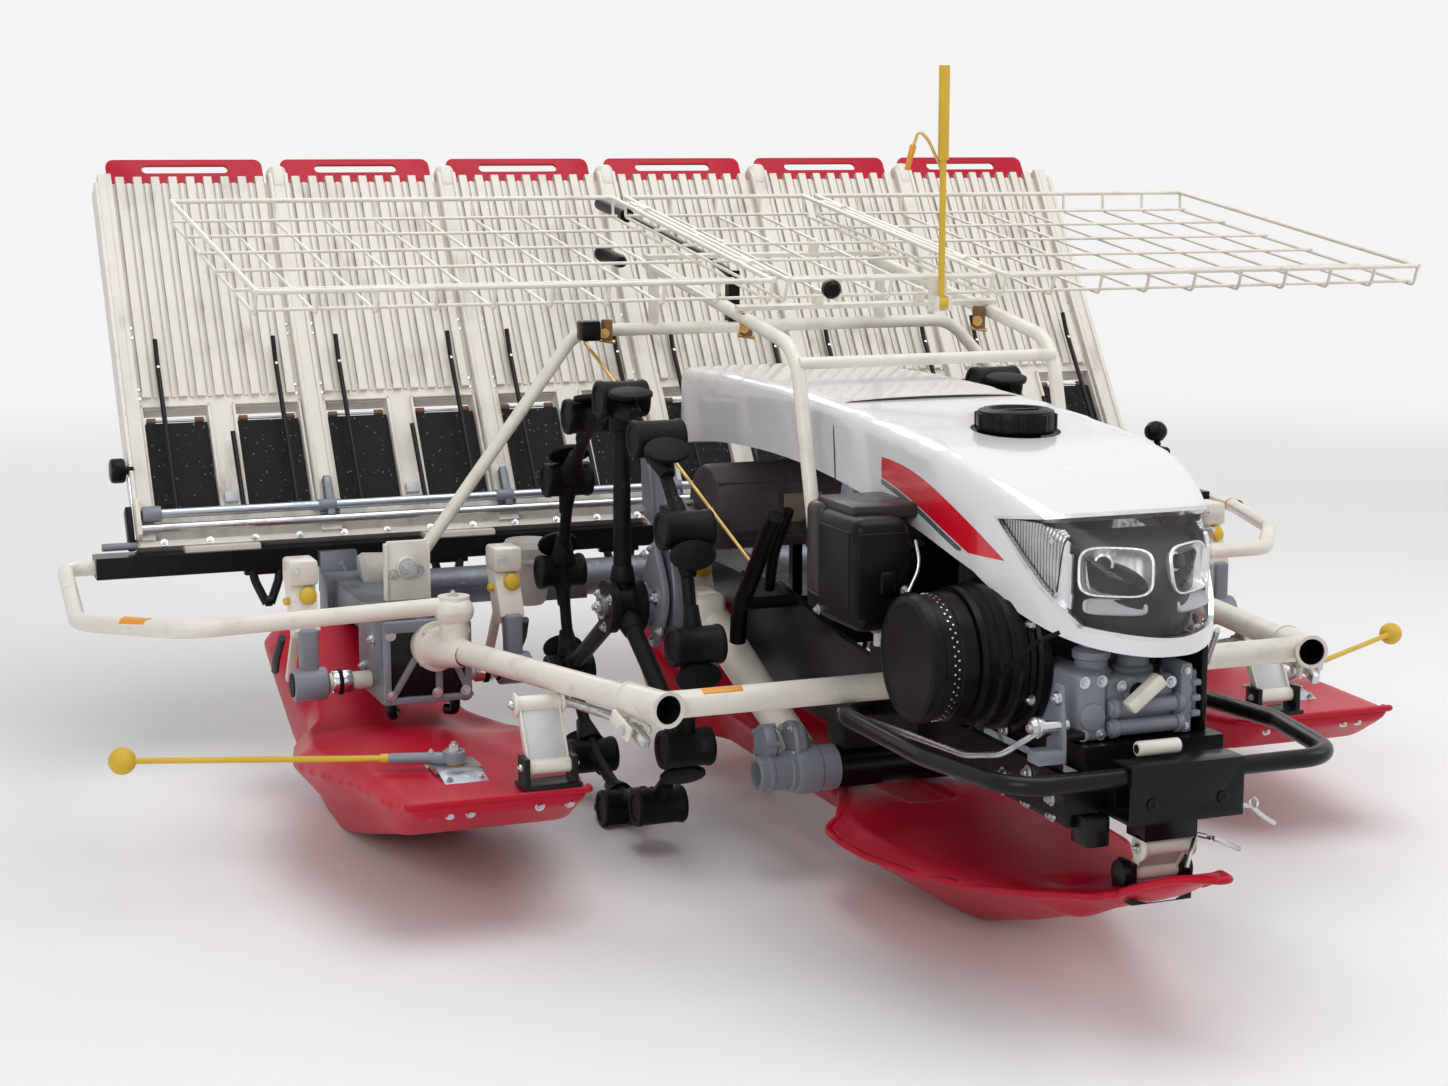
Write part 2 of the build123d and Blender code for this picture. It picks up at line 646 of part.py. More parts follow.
def deck_bracket(x0, y, z, width, base_z, thick):
    """Black two-eared bracket on a float's deck that takes a link's lower pin."""
    base = box(x0 - width / 2 - 16, x0 + width / 2 + 16, y - 22, y + 22, base_z, base_z + thick)
    ears = []
    for side in (-1, 1):
        inner = side * (width / 2 + LINK_PIN_OUT + RUN_CLEAR)
        ears.append(box(x0 + inner, x0 + inner + side * 7, y - 16, y + 16, base_z, z + 14))
    return joined(base, ears)


def build_float_links():
    side_hull = hull(SIDE_HULL, -SIDE_HULL_X)
    x0 = -SIDE_FLOAT_X + LINK_OFF
    link = front_link(x0, LINK_TOP, LINK_FOOT, LINK_W, LINK_T)
    nose = front_link(0, NOSE_LINK_TOP, NOSE_LINK_FOOT, NOSE_LINK_W, LINK_T)
    save_set("float_links", [link, mirrored(link), nose])
    eye_x = x0 + LINK_W / 2 + LINK_PIN_OUT + RUN_CLEAR
    eye = disc_x(eye_x, eye_x + 14, *LINK_TOP, 20)
    save_pair("float_stays", joined(eye, rod((eye_x + 7, *LINK_TOP), STAY_END, STAY_ROD_D)))
    bracket = deck_bracket(x0, *LINK_FOOT, LINK_W, SIDE_DECK_Z, 6)
    foot = deck_bracket(0, *NOSE_LINK_FOOT, NOSE_LINK_W, 148, 20) - NODES["centre_float"]
    save_set("float_brackets", [bracket, mirrored(bracket), foot])
    side = float_hanger(-SIDE_FLOAT_X, NECK_Z0) - side_hull
    centre = float_hanger(0, MAIN_BEAM_Z0) - NODES["centre_float"]
    save_set("float_hangers", [side, mirrored(side), centre])


# ---------------------------------------------------------------- planting units and beam
def planting_case(x0):
    """Grey die-cast case at x0, its neck back to the beam and the seat of the rack frame's foot."""
    half = CASE_W / 2
    body = box(x0 - half, x0 + half, CASE_Y, CASE_Y + CASE_L, CASE_Z0, CASE_Z1)
    body -= box(x0 - half + 12, x0 + half - 12, CASE_Y - 1, CASE_Y + 30, CASE_Z0 - 1, CASE_Z0 + 36)
    neck = box(x0 - NECK_HALF, x0 + NECK_HALF, CASE_Y + CASE_L - 1, BEAM_FACE_Y, NECK_Z0, NECK_Z1)
    back = ARCH_FOOT_Y - FRAME_D / 2
    seat = box(x0 - 30, x0 + 30, back - 8, back, CASE_Z1 - 1, ARCH_FOOT_Z + 34)
    pad = box(x0 - 36, x0 + 36, back - 50, back, CASE_Z1 - 1, CASE_Z1 + 10)
    return joined(body, neck, seat, pad)


def planting_arm(x0, side):
    """Crank, link, cream arm and claw beside the case at x0."""
    x = x0 + side * ARM_OFF
    shaft = disc_x(x0 + side * CASE_W / 2, x - side * 18, CRANK_Y, CRANK_Z, 26)
    bearing = disc_x(x - 20, x + 20, CRANK_Y, CRANK_Z, CRANK_D)
    link = bar((x, CRANK_Y, CRANK_Z), (x, 44, 318), 20, 18)
    arm = bar((x, 40, 306), (x, 84, 398), ARM_W, 40)
    claw = bar((x, 72, 352), (x, 168, 214), 12, 10)
    return joined(shaft, bearing, link, arm, claw)


def build_planting():
    side_case = planting_case(-SIDE_FLOAT_X)
    centre_case = box(-CASE_W / 2, CASE_W / 2, CASE_Y, CASE_Y + CASE_L, CASE_Z0, MAIN_BEAM_Z0)
    save_set("planting_cases", [side_case, mirrored(side_case), centre_case])
    arms = []
    for x0 in (-SIDE_FLOAT_X, 0.0, SIDE_FLOAT_X):
        for side in (-1, 1):
            arms.append(planting_arm(x0, side))
    save_set("planting_arms", arms)
    beam = disc_x(-SIDE_FLOAT_X - 40, SIDE_FLOAT_X + 40, BEAM_Y, BEAM_Z, BEAM_D)
    pads = []
    for x in (-SIDE_FLOAT_X, -HANDLE_X, 0, HANDLE_X, SIDE_FLOAT_X):
        half = BEAM_D / 2
        pads.append(box(x - 40, x + 40, BEAM_Y - half, BEAM_Y + half, BEAM_Z - half, BEAM_Z + half))
    posts = []
    for x in (-SIDE_FLOAT_X, 0, SIDE_FLOAT_X):
        posts.append(box(x - 30, x + 30, BEAM_Y + 20, GUIDE_Y0, BEAM_Z - 10, BEAM_Z + 10))
        posts.append(box(x - 30, x + 30, GUIDE_Y0 - 20, GUIDE_Y0, BEAM_Z - 10, GUIDE_TOP_Z - 8))
    save("rear_beam", joined(beam, pads, posts))


def side_guard(points, bends):
    """A guard tube through points from the boss on the boom, with its clamping eye."""
    x, y, z = points[0]
    eye = rod((x, y, GUARD_BOSS_Z), (x, y, GUARD_BOSS_Z + GUARD_D + 3), 44)
    return joined(pipe(points, GUARD_D, bends), eye)


def build_booms():
    start = Vector(-SIDE_FLOAT_X + 10, CASE_Y, 300)
    tee = Vector(*TEE)
    way = (tee - start).normalized()
    tube = rod(start + Vector(0, -2, 0), tee - way * 20, BOOM_D)
    flange = rod((start.X, CASE_Y, start.Z), (start.X, CASE_Y - 16, start.Z), 68)
    sleeve_end = tee + way * 30
    sleeve = rod(tee - way * 62, sleeve_end, BOOM_SLEEVE_D)
    cross = disc_x(TEE[0], -LUG_X, BOOM_Y, BOOM_Z, BOOM_D)
    collar = disc_x(-LUG_X - 10, -LUG_X, BOOM_Y, BOOM_Z, 58)
    boss_y = -122
    share = (boss_y - CASE_Y) / (BOOM_Y - CASE_Y)
    boss_x = start.X + (TEE[0] - start.X) * share
    boss_z = start.Z + (BOOM_Z - start.Z) * share
    boss = rod((boss_x, boss_y, boss_z), (boss_x, boss_y, GUARD_BOSS_Z), 40)
    bore = rod(sleeve_end + way, sleeve_end - way * BOOM_BORE_L, 2 * BOOM_BORE_R)
    keep = box(-650, 0, CASE_Y - 800, CASE_Y, 0, 600)
    shape = (joined(tube, flange, sleeve, cross, collar, boss) & keep) - bore
    save_pair("booms", shape)
    outer = GUARD_HALF - GUARD_D / 2
    mid_y = (GUIDE_Y0 + GUIDE_Y1) / 2
    root_z = GUARD_BOSS_Z + GUARD_D / 2 + 2
    right = side_guard([
        (boss_x, boss_y, root_z), (-940, -118, 356), (-outer, 40, 346),
        (-GUARD_REAR_X, mid_y, GUARD_END_Z), (-GUIDE_RIGHT, mid_y, GUARD_END_Z),
    ], [70, 90, GUARD_REAR_R])
    left = side_guard([
        (-boss_x, boss_y, root_z), (770, -76, 356), (930, 150, 346),
        (outer, mid_y - 80, GUARD_END_Z), (outer, mid_y + GUARD_D / 2, GUARD_END_Z),
    ], [80, 80, 80])
    save_set("side_guards", [right, left])


# ---------------------------------------------------------------- guide rail and handlebars
SHOE_Z = slope_point(TRAY_LEN + LOWER_RAIL_H, -LOWER_RAIL_DEEP)[2]
GUIDE_TOP_Z = SHOE_Z - RUN_CLEAR
GUARD_END_Z = SHOE_Z - MOVE_CLEAR - GUARD_D / 2


def build_guides():
    rail = box(-GUIDE_RIGHT, GUIDE_LEFT, GUIDE_Y0, GUIDE_Y1, GUIDE_TOP_Z - GUIDE_H, GUIDE_TOP_Z)
    save("guide_rail", rail)
    upper = slope_box(-UPPER_RAIL_HALF, UPPER_RAIL_HALF, UPPER_RAIL_S, UPPER_RAIL_S + UPPER_RAIL_W,
                      UPPER_RAIL_N, -TRAY_T - RUN_CLEAR)
    save("upper_guide_rail", upper)


def build_handles():
    low = (HANDLE_X, BEAM_Y + BEAM_D / 2, 270)
    a = radians(TRAY_SLOPE)
    turn_s = (TRAY_TOP_Z + HANDLE_N * cos(a) - low[2]) / sin(a)
    top_s = (TRAY_TOP_Z + HANDLE_N * cos(a) - HANDLE_Z) / sin(a)
    turn = slope_point(turn_s, HANDLE_N, HANDLE_X)
    top = slope_point(top_s, HANDLE_N, HANDLE_X)
    grip_y = REAR_Y - GRIP_L
    left = pipe([low, turn, top, (HANDLE_X, grip_y, HANDLE_Z)], HANDLE_D, [60, 40])
    y, z = slope_point(HANDLE_CROSS_S, HANDLE_N)[1:]
    cross = disc_x(-HANDLE_X, HANDLE_X, y, z, HANDLE_CROSS_D)
    save("handlebars", joined(left, mirrored(left), cross))
    save_pair("grips", rod((HANDLE_X, grip_y, HANDLE_Z), (HANDLE_X, REAR_Y, HANDLE_Z), GRIP_D))
    box_y = y + HANDLE_CROSS_D / 2
    console = box(-90, 90, box_y, box_y + 70, z - 60, z + 50)
    levers = []
    for x, lean in ((-54, -14), (0, 6), (54, 16)):
        levers.append(rod((x, box_y + 36, z + 46), (x + lean, box_y + 60, z + 130), 9))
        levers.append(rod((x + lean, box_y + 58, z + 122), (x + lean * 1.2, box_y + 68, z + 158), 26))
    save("control_console", joined(console, levers))


# ---------------------------------------------------------------- seedling platform
def build_platform():
    plate = slope_box(-TRAY_HALF, TRAY_HALF, TRAY_START, TRAY_LEN, -TRAY_T, 0)
    windows = []
    belts = []
    ribs = []
    for x0 in SECTION_X:
        for side in (-1, 1):
            x = x0 + side * WINDOW_X
            windows.append(slope_box(x - WINDOW_W / 2, x + WINDOW_W / 2, WINDOW_S, WINDOW_END_S, -TRAY_T - 1, 1))
            inner = WINDOW_W / 2 - 2
            belts.append(slope_box(x - inner, x + inner, WINDOW_S + BELT_GAP, WINDOW_END_S,
                                   -BELT_SUNK - BELT_T, -BELT_SUNK))
        usable = ROW_PITCH - DIVIDER_W
        for k in range(RIBS):
            x = x0 - usable / 2 + usable * (k + 0.5) / RIBS
            ribs.append(slope_box(x - RIB_W / 2, x + RIB_W / 2, RIB_START, WINDOW_S - 20, -4, RIB_H))
    dividers = []
    for k in range(ROWS + 1):
        x = ROW_PITCH * (k - ROWS / 2)
        x0 = max(x - DIVIDER_W / 2, -TRAY_HALF)
        x1 = min(x + DIVIDER_W / 2, TRAY_HALF)
        dividers.append(slope_box(x0, x1, DIVIDER_START, TRAY_LEN, -4, DIVIDER_H))
    save("seedling_platform", (plate - windows) + (ribs + dividers))
    save_set("feed_belts", belts)
    plates = []
    for x0 in SECTION_X:
        half = EXTENSION_W / 2
        back = -TRAY_T - EXTENSION_T
        blade = slope_box(x0 - half, x0 + half, -EXTENSION_UP, EXTENSION_DOWN, back, -TRAY_T)
        slot = slope_box(x0 - GRIP_SLOT_HALF, x0 + GRIP_SLOT_HALF, GRIP_SLOT_S, GRIP_SLOT_S + GRIP_SLOT_H,
                         back - 1, -TRAY_T + 1)
        plates.append(blade - slot)
    save_set("extension_plates", plates)
    cheek = slope_box(TRAY_HALF, TRAY_HALF + SIDE_FRAME_T, CHEEK_START, TRAY_LEN, -TRAY_T, SIDE_FRAME_H - TRAY_T)
    ear = slope_box(TRAY_HALF, TRAY_HALF + SIDE_FRAME_T, BAR_S - 26, TRAY_LEN, 0, FRAME_N)
    save_pair("platform_sides", joined(cheek, ear))
    half = TRAY_HALF + SIDE_FRAME_T
    rail = slope_box(-half, half, TRAY_LEN, TRAY_LEN + LOWER_RAIL_H, -LOWER_RAIL_DEEP, 8)
    shoes = []
    for x in (-780, -390, 0, 390, 780):
        shoes.append(box(x - 60, x + 60, GUIDE_Y0 + 8, GUIDE_Y1 - 8, SHOE_Z, SHOE_Z + SHOE_H))
    save("platform_lower_rail", joined(rail, shoes))
    y, z = slope_point(BAR_S, BAR_N)[1:]
    pieces = [disc_x(-TRAY_HALF, TRAY_HALF, y, z, BAR_D)]
    for x0 in SECTION_X:
        for side in (-1, 1):
            x = x0 + side * PRESS_X
            low = slope_point(BAR_S, BAR_N, x)
            knee = slope_point(PRESS_KNEE_S, PRESS_N, x)
            end = slope_point(PRESS_TOP_S, PRESS_N + 6, x)
            pieces.append(pipe([low, knee, end], PRESS_D, 30))
        x = x0 + SHORT_PRESS_X
        pieces.append(rod(slope_point(BAR_S, BAR_N, x), slope_point(SHORT_PRESS_S, PRESS_N, x), PRESS_D))
    save("press_rods", joined(pieces))
    y, z = slope_point(FEED_S, FEED_N)[1:]
    save("feed_shaft", disc_x(-TRAY_HALF, TRAY_HALF, y, z, FEED_D))


# ---------------------------------------------------------------- frames and seedling racks
def rack_point(u, w, x=0.0):
    """A point u back from the racks' front rim and w up from the plane of the rims."""
    a = radians(RACK_TILT)
    return (x, RACK_FRONT_Y + u * cos(a) - w * sin(a), RACK_FRONT_Z + u * sin(a) + w * cos(a))


def rack_box(x0, x1, u0, u1, w0, w1):
    """A box lying in the racks' tilted frame."""
    a = radians(RACK_TILT)
    plane = Plane(origin=rack_point(0, 0), x_dir=(1, 0, 0), z_dir=(0, -sin(a), cos(a)))
    local = Pos((x0 + x1) / 2, (u0 + u1) / 2, (w0 + w1) / 2) * Box(x1 - x0, u1 - u0, w1 - w0)
    return plane.location * local


def wire_rack(x0, x1):
    """A wire tray from x0 to x1: rim, lower rails and a welded grid."""
    pieces = []
    floor_w = -RACK_DEEP
    for u in (0.0, RACK_LEN):
        pieces.append(rod(rack_point(u, 0, x0), rack_point(u, 0, x1), RIM_D))
    for x in (x0 + RIM_D / 2, x1 - RIM_D / 2):
        pieces.append(rod(rack_point(-RIM_D / 2, 0, x), rack_point(RACK_LEN + RIM_D / 2, 0, x), RIM_D))
    count = max(1, round((x1 - x0) / WIRE_PITCH))
    for k in range(count + 1):
        x = x0 + WIRE_D / 2 + (x1 - x0 - WIRE_D) * k / count
        path = [rack_point(0, 0, x), rack_point(6, floor_w, x),
                rack_point(RACK_LEN - 6, floor_w, x), rack_point(RACK_LEN, 0, x)]
        pieces.append(pipe(path, WIRE_D, 8))
    rows = 6
    for k in range(rows):
        u = 18 + (RACK_LEN - 36) * k / (rows - 1)
        w = floor_w + WIRE_D - 1
        pieces.append(rod(rack_point(u, w, x0), rack_point(u, w, x1), WIRE_D))
    return joined(pieces)


def build_racks():
    gap = RUN_CLEAR + HINGE_R
    centre = wire_rack(-RACK_HINGE_X + gap, RACK_HINGE_X - gap)
    extras = []
    for side in (-1, 1):
        x = side * RACK_HINGE_X
        inner = side * (RACK_HINGE_X - gap - RIM_D / 2)
        extras.append(rod(rack_point(60, 0, x), rack_point(RACK_LEN - 60, 0, x), HINGE_PIN_D))
        for u in (64, RACK_LEN / 2, RACK_LEN - 64):
            extras.append(rod(rack_point(u, 0, x), rack_point(u, 0, inner), 6))
    for u in (CLAMP_FRONT_U, CLAMP_REAR_U):
        drop = -CARRIER_DROP + FRAME_D / 2
        extras.append(rack_box(-CARRIER_X - 10, CARRIER_X + 10, u - 8, u + 8, drop, drop + 6))
        for x in (-CLAMP_POST_X, CLAMP_POST_X):
            extras.append(rack_box(x - 6, x + 6, u - 6, u + 6, drop, -RACK_DEEP + 2))
    save("rack_centre", joined(centre, extras, pole_bracket()))
    wing = wire_rack(-RACK_HALF, -RACK_HINGE_X - gap)
    knuckles = []
    for u in (120, RACK_LEN - 120):
        tube = rod(rack_point(u - 18, 0, -RACK_HINGE_X), rack_point(u + 18, 0, -RACK_HINGE_X), 2 * HINGE_R - 1)
        arm = rack_box(-RACK_HINGE_X - gap - RIM_D, -RACK_HINGE_X, u - 15, u + 15, -3, 3)
        knuckles += [tube, arm]
    pin = rod(rack_point(40, 0, -RACK_HINGE_X), rack_point(RACK_LEN - 40, 0, -RACK_HINGE_X),
              HINGE_PIN_D + 2 * RUN_CLEAR)
    shape = joined(wing, knuckles) - pin
    save("rack_wing_right", shape)
    save("rack_wing_left", mirrored(shape))


def build_frames():
    foot_z = ARCH_FOOT_Z - 18
    path = [
        (-SIDE_FLOAT_X, ARCH_FOOT_Y, foot_z), (-ARCH_TOP_X, ARCH_TOP_Y, ARCH_TOP_Z),
        (ARCH_TOP_X, ARCH_TOP_Y, ARCH_TOP_Z), (SIDE_FLOAT_X, ARCH_FOOT_Y, foot_z),
    ]
    arch = pipe(path, FRAME_D, 60)
    seat_z = rack_point(CLAMP_REAR_U, -CARRIER_DROP)[2]
    pieces = [arch, disc_x(-CARRIER_X, CARRIER_X, -420, 712, 16)]
    foot_x = (LUG_X + RAIL_X) / 2
    for side in (-1, 1):
        x = side * CARRIER_X
        pieces.append(rod((x, ARCH_TOP_Y, ARCH_TOP_Z), (x, ARCH_TOP_Y, seat_z), FRAME_D - 3))
        run = [
            (side * foot_x, FRAME_FOOT_Y, LUG_TOP_Z), (side * foot_x, FRAME_FOOT_Y, LUG_TOP_Z + 36),
            (x, -484, 470), (x, -412, 731), rack_point(40, -CARRIER_DROP, x),
            rack_point(CLAMP_REAR_U + 20, -CARRIER_DROP, x),
        ]
        pieces.append(pipe(run, FRAME_D, [24, 50, 70, 90]))
    save("rack_frame", joined(pieces))


def build_levers():
    post = box(LEVER_X - 9, LEVER_X + 9, ARCH_TOP_Y - 8, ARCH_TOP_Y + 8, ARCH_TOP_Z + FRAME_D / 2 - 1, 802)
    arch = disc_x(LEVER_X - 40, LEVER_X + 40, ARCH_TOP_Y, ARCH_TOP_Z, FRAME_D)
    run = [(LEVER_X, ARCH_TOP_Y, 794), (LEVER_X, 232, 816), (LEVER_X, 640, 872)]
    grip = rod((LEVER_X, 632, 871), (LEVER_X, 772, 888), 24)
    save("main_lever", joined(post - arch, pipe(run, 12, 60), grip))
    boss = disc_x(-RAIL_X - 16, -RAIL_X, -232, 320, 32)
    blade = bar((-RAIL_X - 10, -232, 320), (-200, -336, 495), 14, 30)
    trimmed = blade & box(-300, -RAIL_X, -500, 0, 200, 600)
    save("side_lever", joined(boss, trimmed))


# ---------------------------------------------------------------- pole and row markers
def pole_bracket():
    """Two ears and a pin on the centre rack's front rim."""
    front = RACK_FRONT_Y - RIM_D / 2
    pieces = [box(POLE_X - 13, POLE_X + 13, front - 4, front + 1, POLE_Z - 12, RACK_FRONT_Z + 2)]
    for side in (-1, 1):
        x = POLE_X + side * 10
        pieces.append(box(x - 3, x + 3, POLE_Y - 9, front - 1, POLE_Z - 10, POLE_Z + 10))
    pieces.append(disc_x(POLE_X - 15, POLE_X + 15, POLE_Y, POLE_Z, POLE_PIN_D))
    return joined(pieces)


def build_pole():
    eye = disc_x(POLE_X - 7 + RUN_CLEAR, POLE_X + 7 - RUN_CLEAR, POLE_Y, POLE_Z, POLE_EYE_D)
    mast = rod((POLE_X, POLE_Y, POLE_Z), (POLE_X, POLE_Y, POLE_TOP_Z), POLE_D)
    grip = rod((POLE_X, POLE_Y, POLE_TOP_Z - POLE_GRIP_L), (POLE_X, POLE_Y, POLE_TOP_Z), POLE_GRIP_D)
    bore = disc_x(POLE_X - 20, POLE_X + 20, POLE_Y, POLE_Z, POLE_PIN_D + 2 * RUN_CLEAR)
    save("sighting_pole", joined(eye, mast, grip) - bore)


def marker(angle):
    """Row marker on the -X side, swung back by angle from straight out."""
    base = SIDE_DECK_Z + MARKER_PLATE_T + RUN_CLEAR
    axis_z = base + MARKER_EYE_H / 2
    a = radians(angle)

    def out(r, z=axis_z):
        return (-MARKER_X - r * cos(a), MARKER_Y + r * sin(a), z)

    eye = rod(out(0, base), out(0, base + MARKER_EYE_H), 24)
    socket = rod(out(8), out(96), 12)
    stick = rod(out(90), out(MARKER_ARM), MARKER_ROD_D)
    ball = Pos(*out(MARKER_ARM)) * Sphere(MARKER_BALL_D / 2)
    bore = rod(out(0, base - 1), out(0, base + 20), MARKER_PIN_D + 2 * RUN_CLEAR)
    return joined(eye, socket, stick, ball) - bore


def build_markers():
    top = SIDE_DECK_Z + MARKER_PLATE_T
    x = -MARKER_X
    plate = box(x - 30, x + 30, MARKER_Y - 24, MARKER_Y + 24, SIDE_DECK_Z, top)
    pin = rod((x, MARKER_Y, top - 1), (x, MARKER_Y, top + 18), MARKER_PIN_D)
    save_pair("marker_brackets", joined(plate, pin))
    save("row_marker_right", marker(MARKER_REST_RIGHT))
    save("row_marker_left", mirrored(marker(MARKER_REST_LEFT)))


def build_all():
    build_wheels()
    build_chassis()
    build_engine()
    build_nose()
    build_hood()
    build_floats()
    build_float_links()
    build_planting()
    build_booms()
    build_guides()
    build_handles()
    build_platform()
    build_racks()
    build_frames()
    build_levers()
    build_pole()
    build_markers()


build_all()
for node, shape in NODES.items():
    export_step(shape, f"parts/{node}.step")
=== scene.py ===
"""The looks of a walk-behind six-row rice transplanter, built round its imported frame.

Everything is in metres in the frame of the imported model: +Z up, the nose towards -Y, X = 0 in the middle.
"""

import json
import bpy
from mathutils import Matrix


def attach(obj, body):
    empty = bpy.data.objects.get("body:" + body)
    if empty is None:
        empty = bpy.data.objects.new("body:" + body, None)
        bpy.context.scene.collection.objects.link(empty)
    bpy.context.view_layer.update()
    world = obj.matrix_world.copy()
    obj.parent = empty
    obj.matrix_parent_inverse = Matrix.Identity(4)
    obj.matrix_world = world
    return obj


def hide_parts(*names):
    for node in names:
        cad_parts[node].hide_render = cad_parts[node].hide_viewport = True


bl_info = {
    "name": "Rice transplanter",
    "version": (1, 0, 0),
    "blender": (4, 5, 0),
    "location": "3D View > Sidebar > Transplanter",
    "description": "Builds the visible pieces and finishes of a walk-behind rice transplanter",
    "category": "Object",
}

from math import cos, pi, radians, sin

import bmesh
import bpy
from mathutils import Matrix, Vector

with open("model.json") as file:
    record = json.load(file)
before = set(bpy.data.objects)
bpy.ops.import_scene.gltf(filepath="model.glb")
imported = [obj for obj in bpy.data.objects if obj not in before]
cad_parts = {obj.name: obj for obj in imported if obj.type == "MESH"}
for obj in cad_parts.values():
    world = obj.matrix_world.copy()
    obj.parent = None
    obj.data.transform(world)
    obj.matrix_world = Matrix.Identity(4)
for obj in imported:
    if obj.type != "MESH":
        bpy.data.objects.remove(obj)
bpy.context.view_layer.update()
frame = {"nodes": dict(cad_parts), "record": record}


def mm(*values):
    """Millimetres as metres."""
    return tuple(value / 1000 for value in values)


def mm_pairs(*pairs):
    """Pairs of millimetres as pairs of metres."""
    return [mm(*pair) for pair in pairs]


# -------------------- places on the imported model
RIGHT, LEFT, FRONT, UP = (-1, 0, 0), (1, 0, 0), (0, -1, 0), (0, 0, 1)  # the machine's own sides
ROW = 0.3  # distance between planted rows
SECTIONS = [ROW * (k - 2.5) for k in range(6)]
DIVIDERS = [ROW * (k - 3) for k in range(7)]
DIVIDER_HALF = 0.017  # half the width of a divider between two sections
RIB_PITCH = (ROW - 2 * DIVIDER_HALF) / 9
SLOPE = 56.7  # degrees between the seedling platform and the floor
TRAY_TOP = (0.94, 0.941)  # (y, z) of the platform's upper edge
BELT_OFF = 0.075  # from a section's middle to the middle of each of its belts
WINDOW_DROP = 0.546  # down the slope to the middle of the belt windows
ROLLER = (0.468, -0.012)  # the belts' upper rollers: down the slope and out of it
PRESS_BAR = (0.651, 0.026)  # the press bar: down the slope and out of it
PLATFORM_FOOT_Z = 0.585  # the ribs end here, above the belt windows
CASE_X = 0.6  # the outer planting cases
CASE_FACE_Y = -0.0605  # the front of a planting case
ARM_OFF = 0.15  # from a planting case to the arms on both its sides
FLOAT_X = 0.612  # the side floats
AXLE = (0.3, -0.034, 0.33)  # the left wheel's centre
ARM_PIVOT = (-0.365, 0.152)  # (y, z) of the tube that the swing arms turn on
ARM_COVER = (-0.35, 0.19)  # (y, z) of the round covers beside it
STARTER = (-0.84, 0.408)  # (y, z) of the recoil starter and its fan
MUFFLER = (-0.11, 0.48)  # (y, z) of the muffler's axis
TEE = (-0.462, -0.628, 0.325)  # where the right boom meets its sleeve
BOOM_END = (-0.59, -0.06, 0.3)  # its other end, on the planting case
LINK_X = 0.542  # the link on the left side float
LINK_TOP = (-0.404, 0.287)  # (y, z) of the pins of a side float's link
LINK_FOOT = (-0.446, 0.214)
NOSE_LINK_TOP = (-1.036, 0.216)
NOSE_LINK_FOOT = (-1.012, 0.18)
MARKER = (0.632, -0.323, 0.203)  # the left row marker's pivot
CAP = (0.0, -0.665)  # (x, y) of the fuel cap
CAP_Z = 0.642  # the foot of the fuel cap
NOSE_Y = -1.052  # the hood's foremost point
HOOD_REAR_Y = 0.168
# the headlight's outline from the side, as (y, z)
LAMP = mm_pairs((-1060, 450), (-1060, 574), (-1010, 592), (-866, 574), (-935, 500), (-990, 458))


# -------------------- shader arithmetic
class Value:
    """A number inside a node tree that takes Python arithmetic."""

    def __init__(self, tree, socket):
        self.tree = tree
        self.socket = socket

    def _math(self, operation, *operands):
        node = self.tree.nodes.new("ShaderNodeMath")
        node.operation = operation
        for slot, operand in zip(node.inputs, operands):
            if isinstance(operand, Value):
                self.tree.links.new(operand.socket, slot)
            else:
                slot.default_value = operand
        return Value(self.tree, node.outputs[0])

    def __add__(self, other):
        return self._math("ADD", self, other)

    def __sub__(self, other):
        return self._math("SUBTRACT", self, other)

    def __rsub__(self, other):
        return self._math("SUBTRACT", other, self)

    def __mul__(self, other):
        return self._math("MULTIPLY", self, other)

    def __mod__(self, other):
        return self._math("MODULO", self, other)

    def __pow__(self, other):
        return self._math("POWER", self, other)

    __radd__ = __add__
    __rmul__ = __mul__

    def absolute(self):
        return self._math("ABSOLUTE", self)

    def sine(self):
        return self._math("SINE", self)

    def most(self, other):
        """The larger of two values."""
        return self._math("MAXIMUM", self, other)

    def ramp(self, low, high):
        """0 below low, 1 above high, and smooth between them."""
        node = self.tree.nodes.new("ShaderNodeMapRange")
        node.interpolation_type = "SMOOTHSTEP"
        self.tree.links.new(self.socket, node.inputs["Value"])
        node.inputs["From Min"].default_value = low
        node.inputs["From Max"].default_value = high
        return Value(self.tree, node.outputs["Result"])


class Nodes:
    """A node tree that starts empty, with short ways to fill it."""

    def __init__(self, tree):
        self.tree = tree
        tree.nodes.clear()

    def feed(self, socket, value):
        """Links a value or another socket into socket, or sets it to a constant."""
        if isinstance(value, Value):
            value = value.socket
        if isinstance(value, bpy.types.NodeSocket):
            self.tree.links.new(value, socket)
        else:
            socket.default_value = value

    def node(self, kind, settings=None, inputs=None):
        """A node of that kind, with its settings made first and then its sockets."""
        node = self.tree.nodes.new(kind)
        for key, value in (settings or {}).items():
            setattr(node, key, value)
        for key, value in (inputs or {}).items():
            self.feed(node.inputs[key], value)
        return node

    def seen(self):
        """1 for what is seen straight, in a reflection or through glass, and 0 for light that is thrown."""
        path = self.node("ShaderNodeLightPath").outputs
        rays = [Value(self.tree, path[f"Is {kind} Ray"]) for kind in ("Camera", "Glossy", "Transmission")]
        return rays[0].most(rays[1]).most(rays[2])


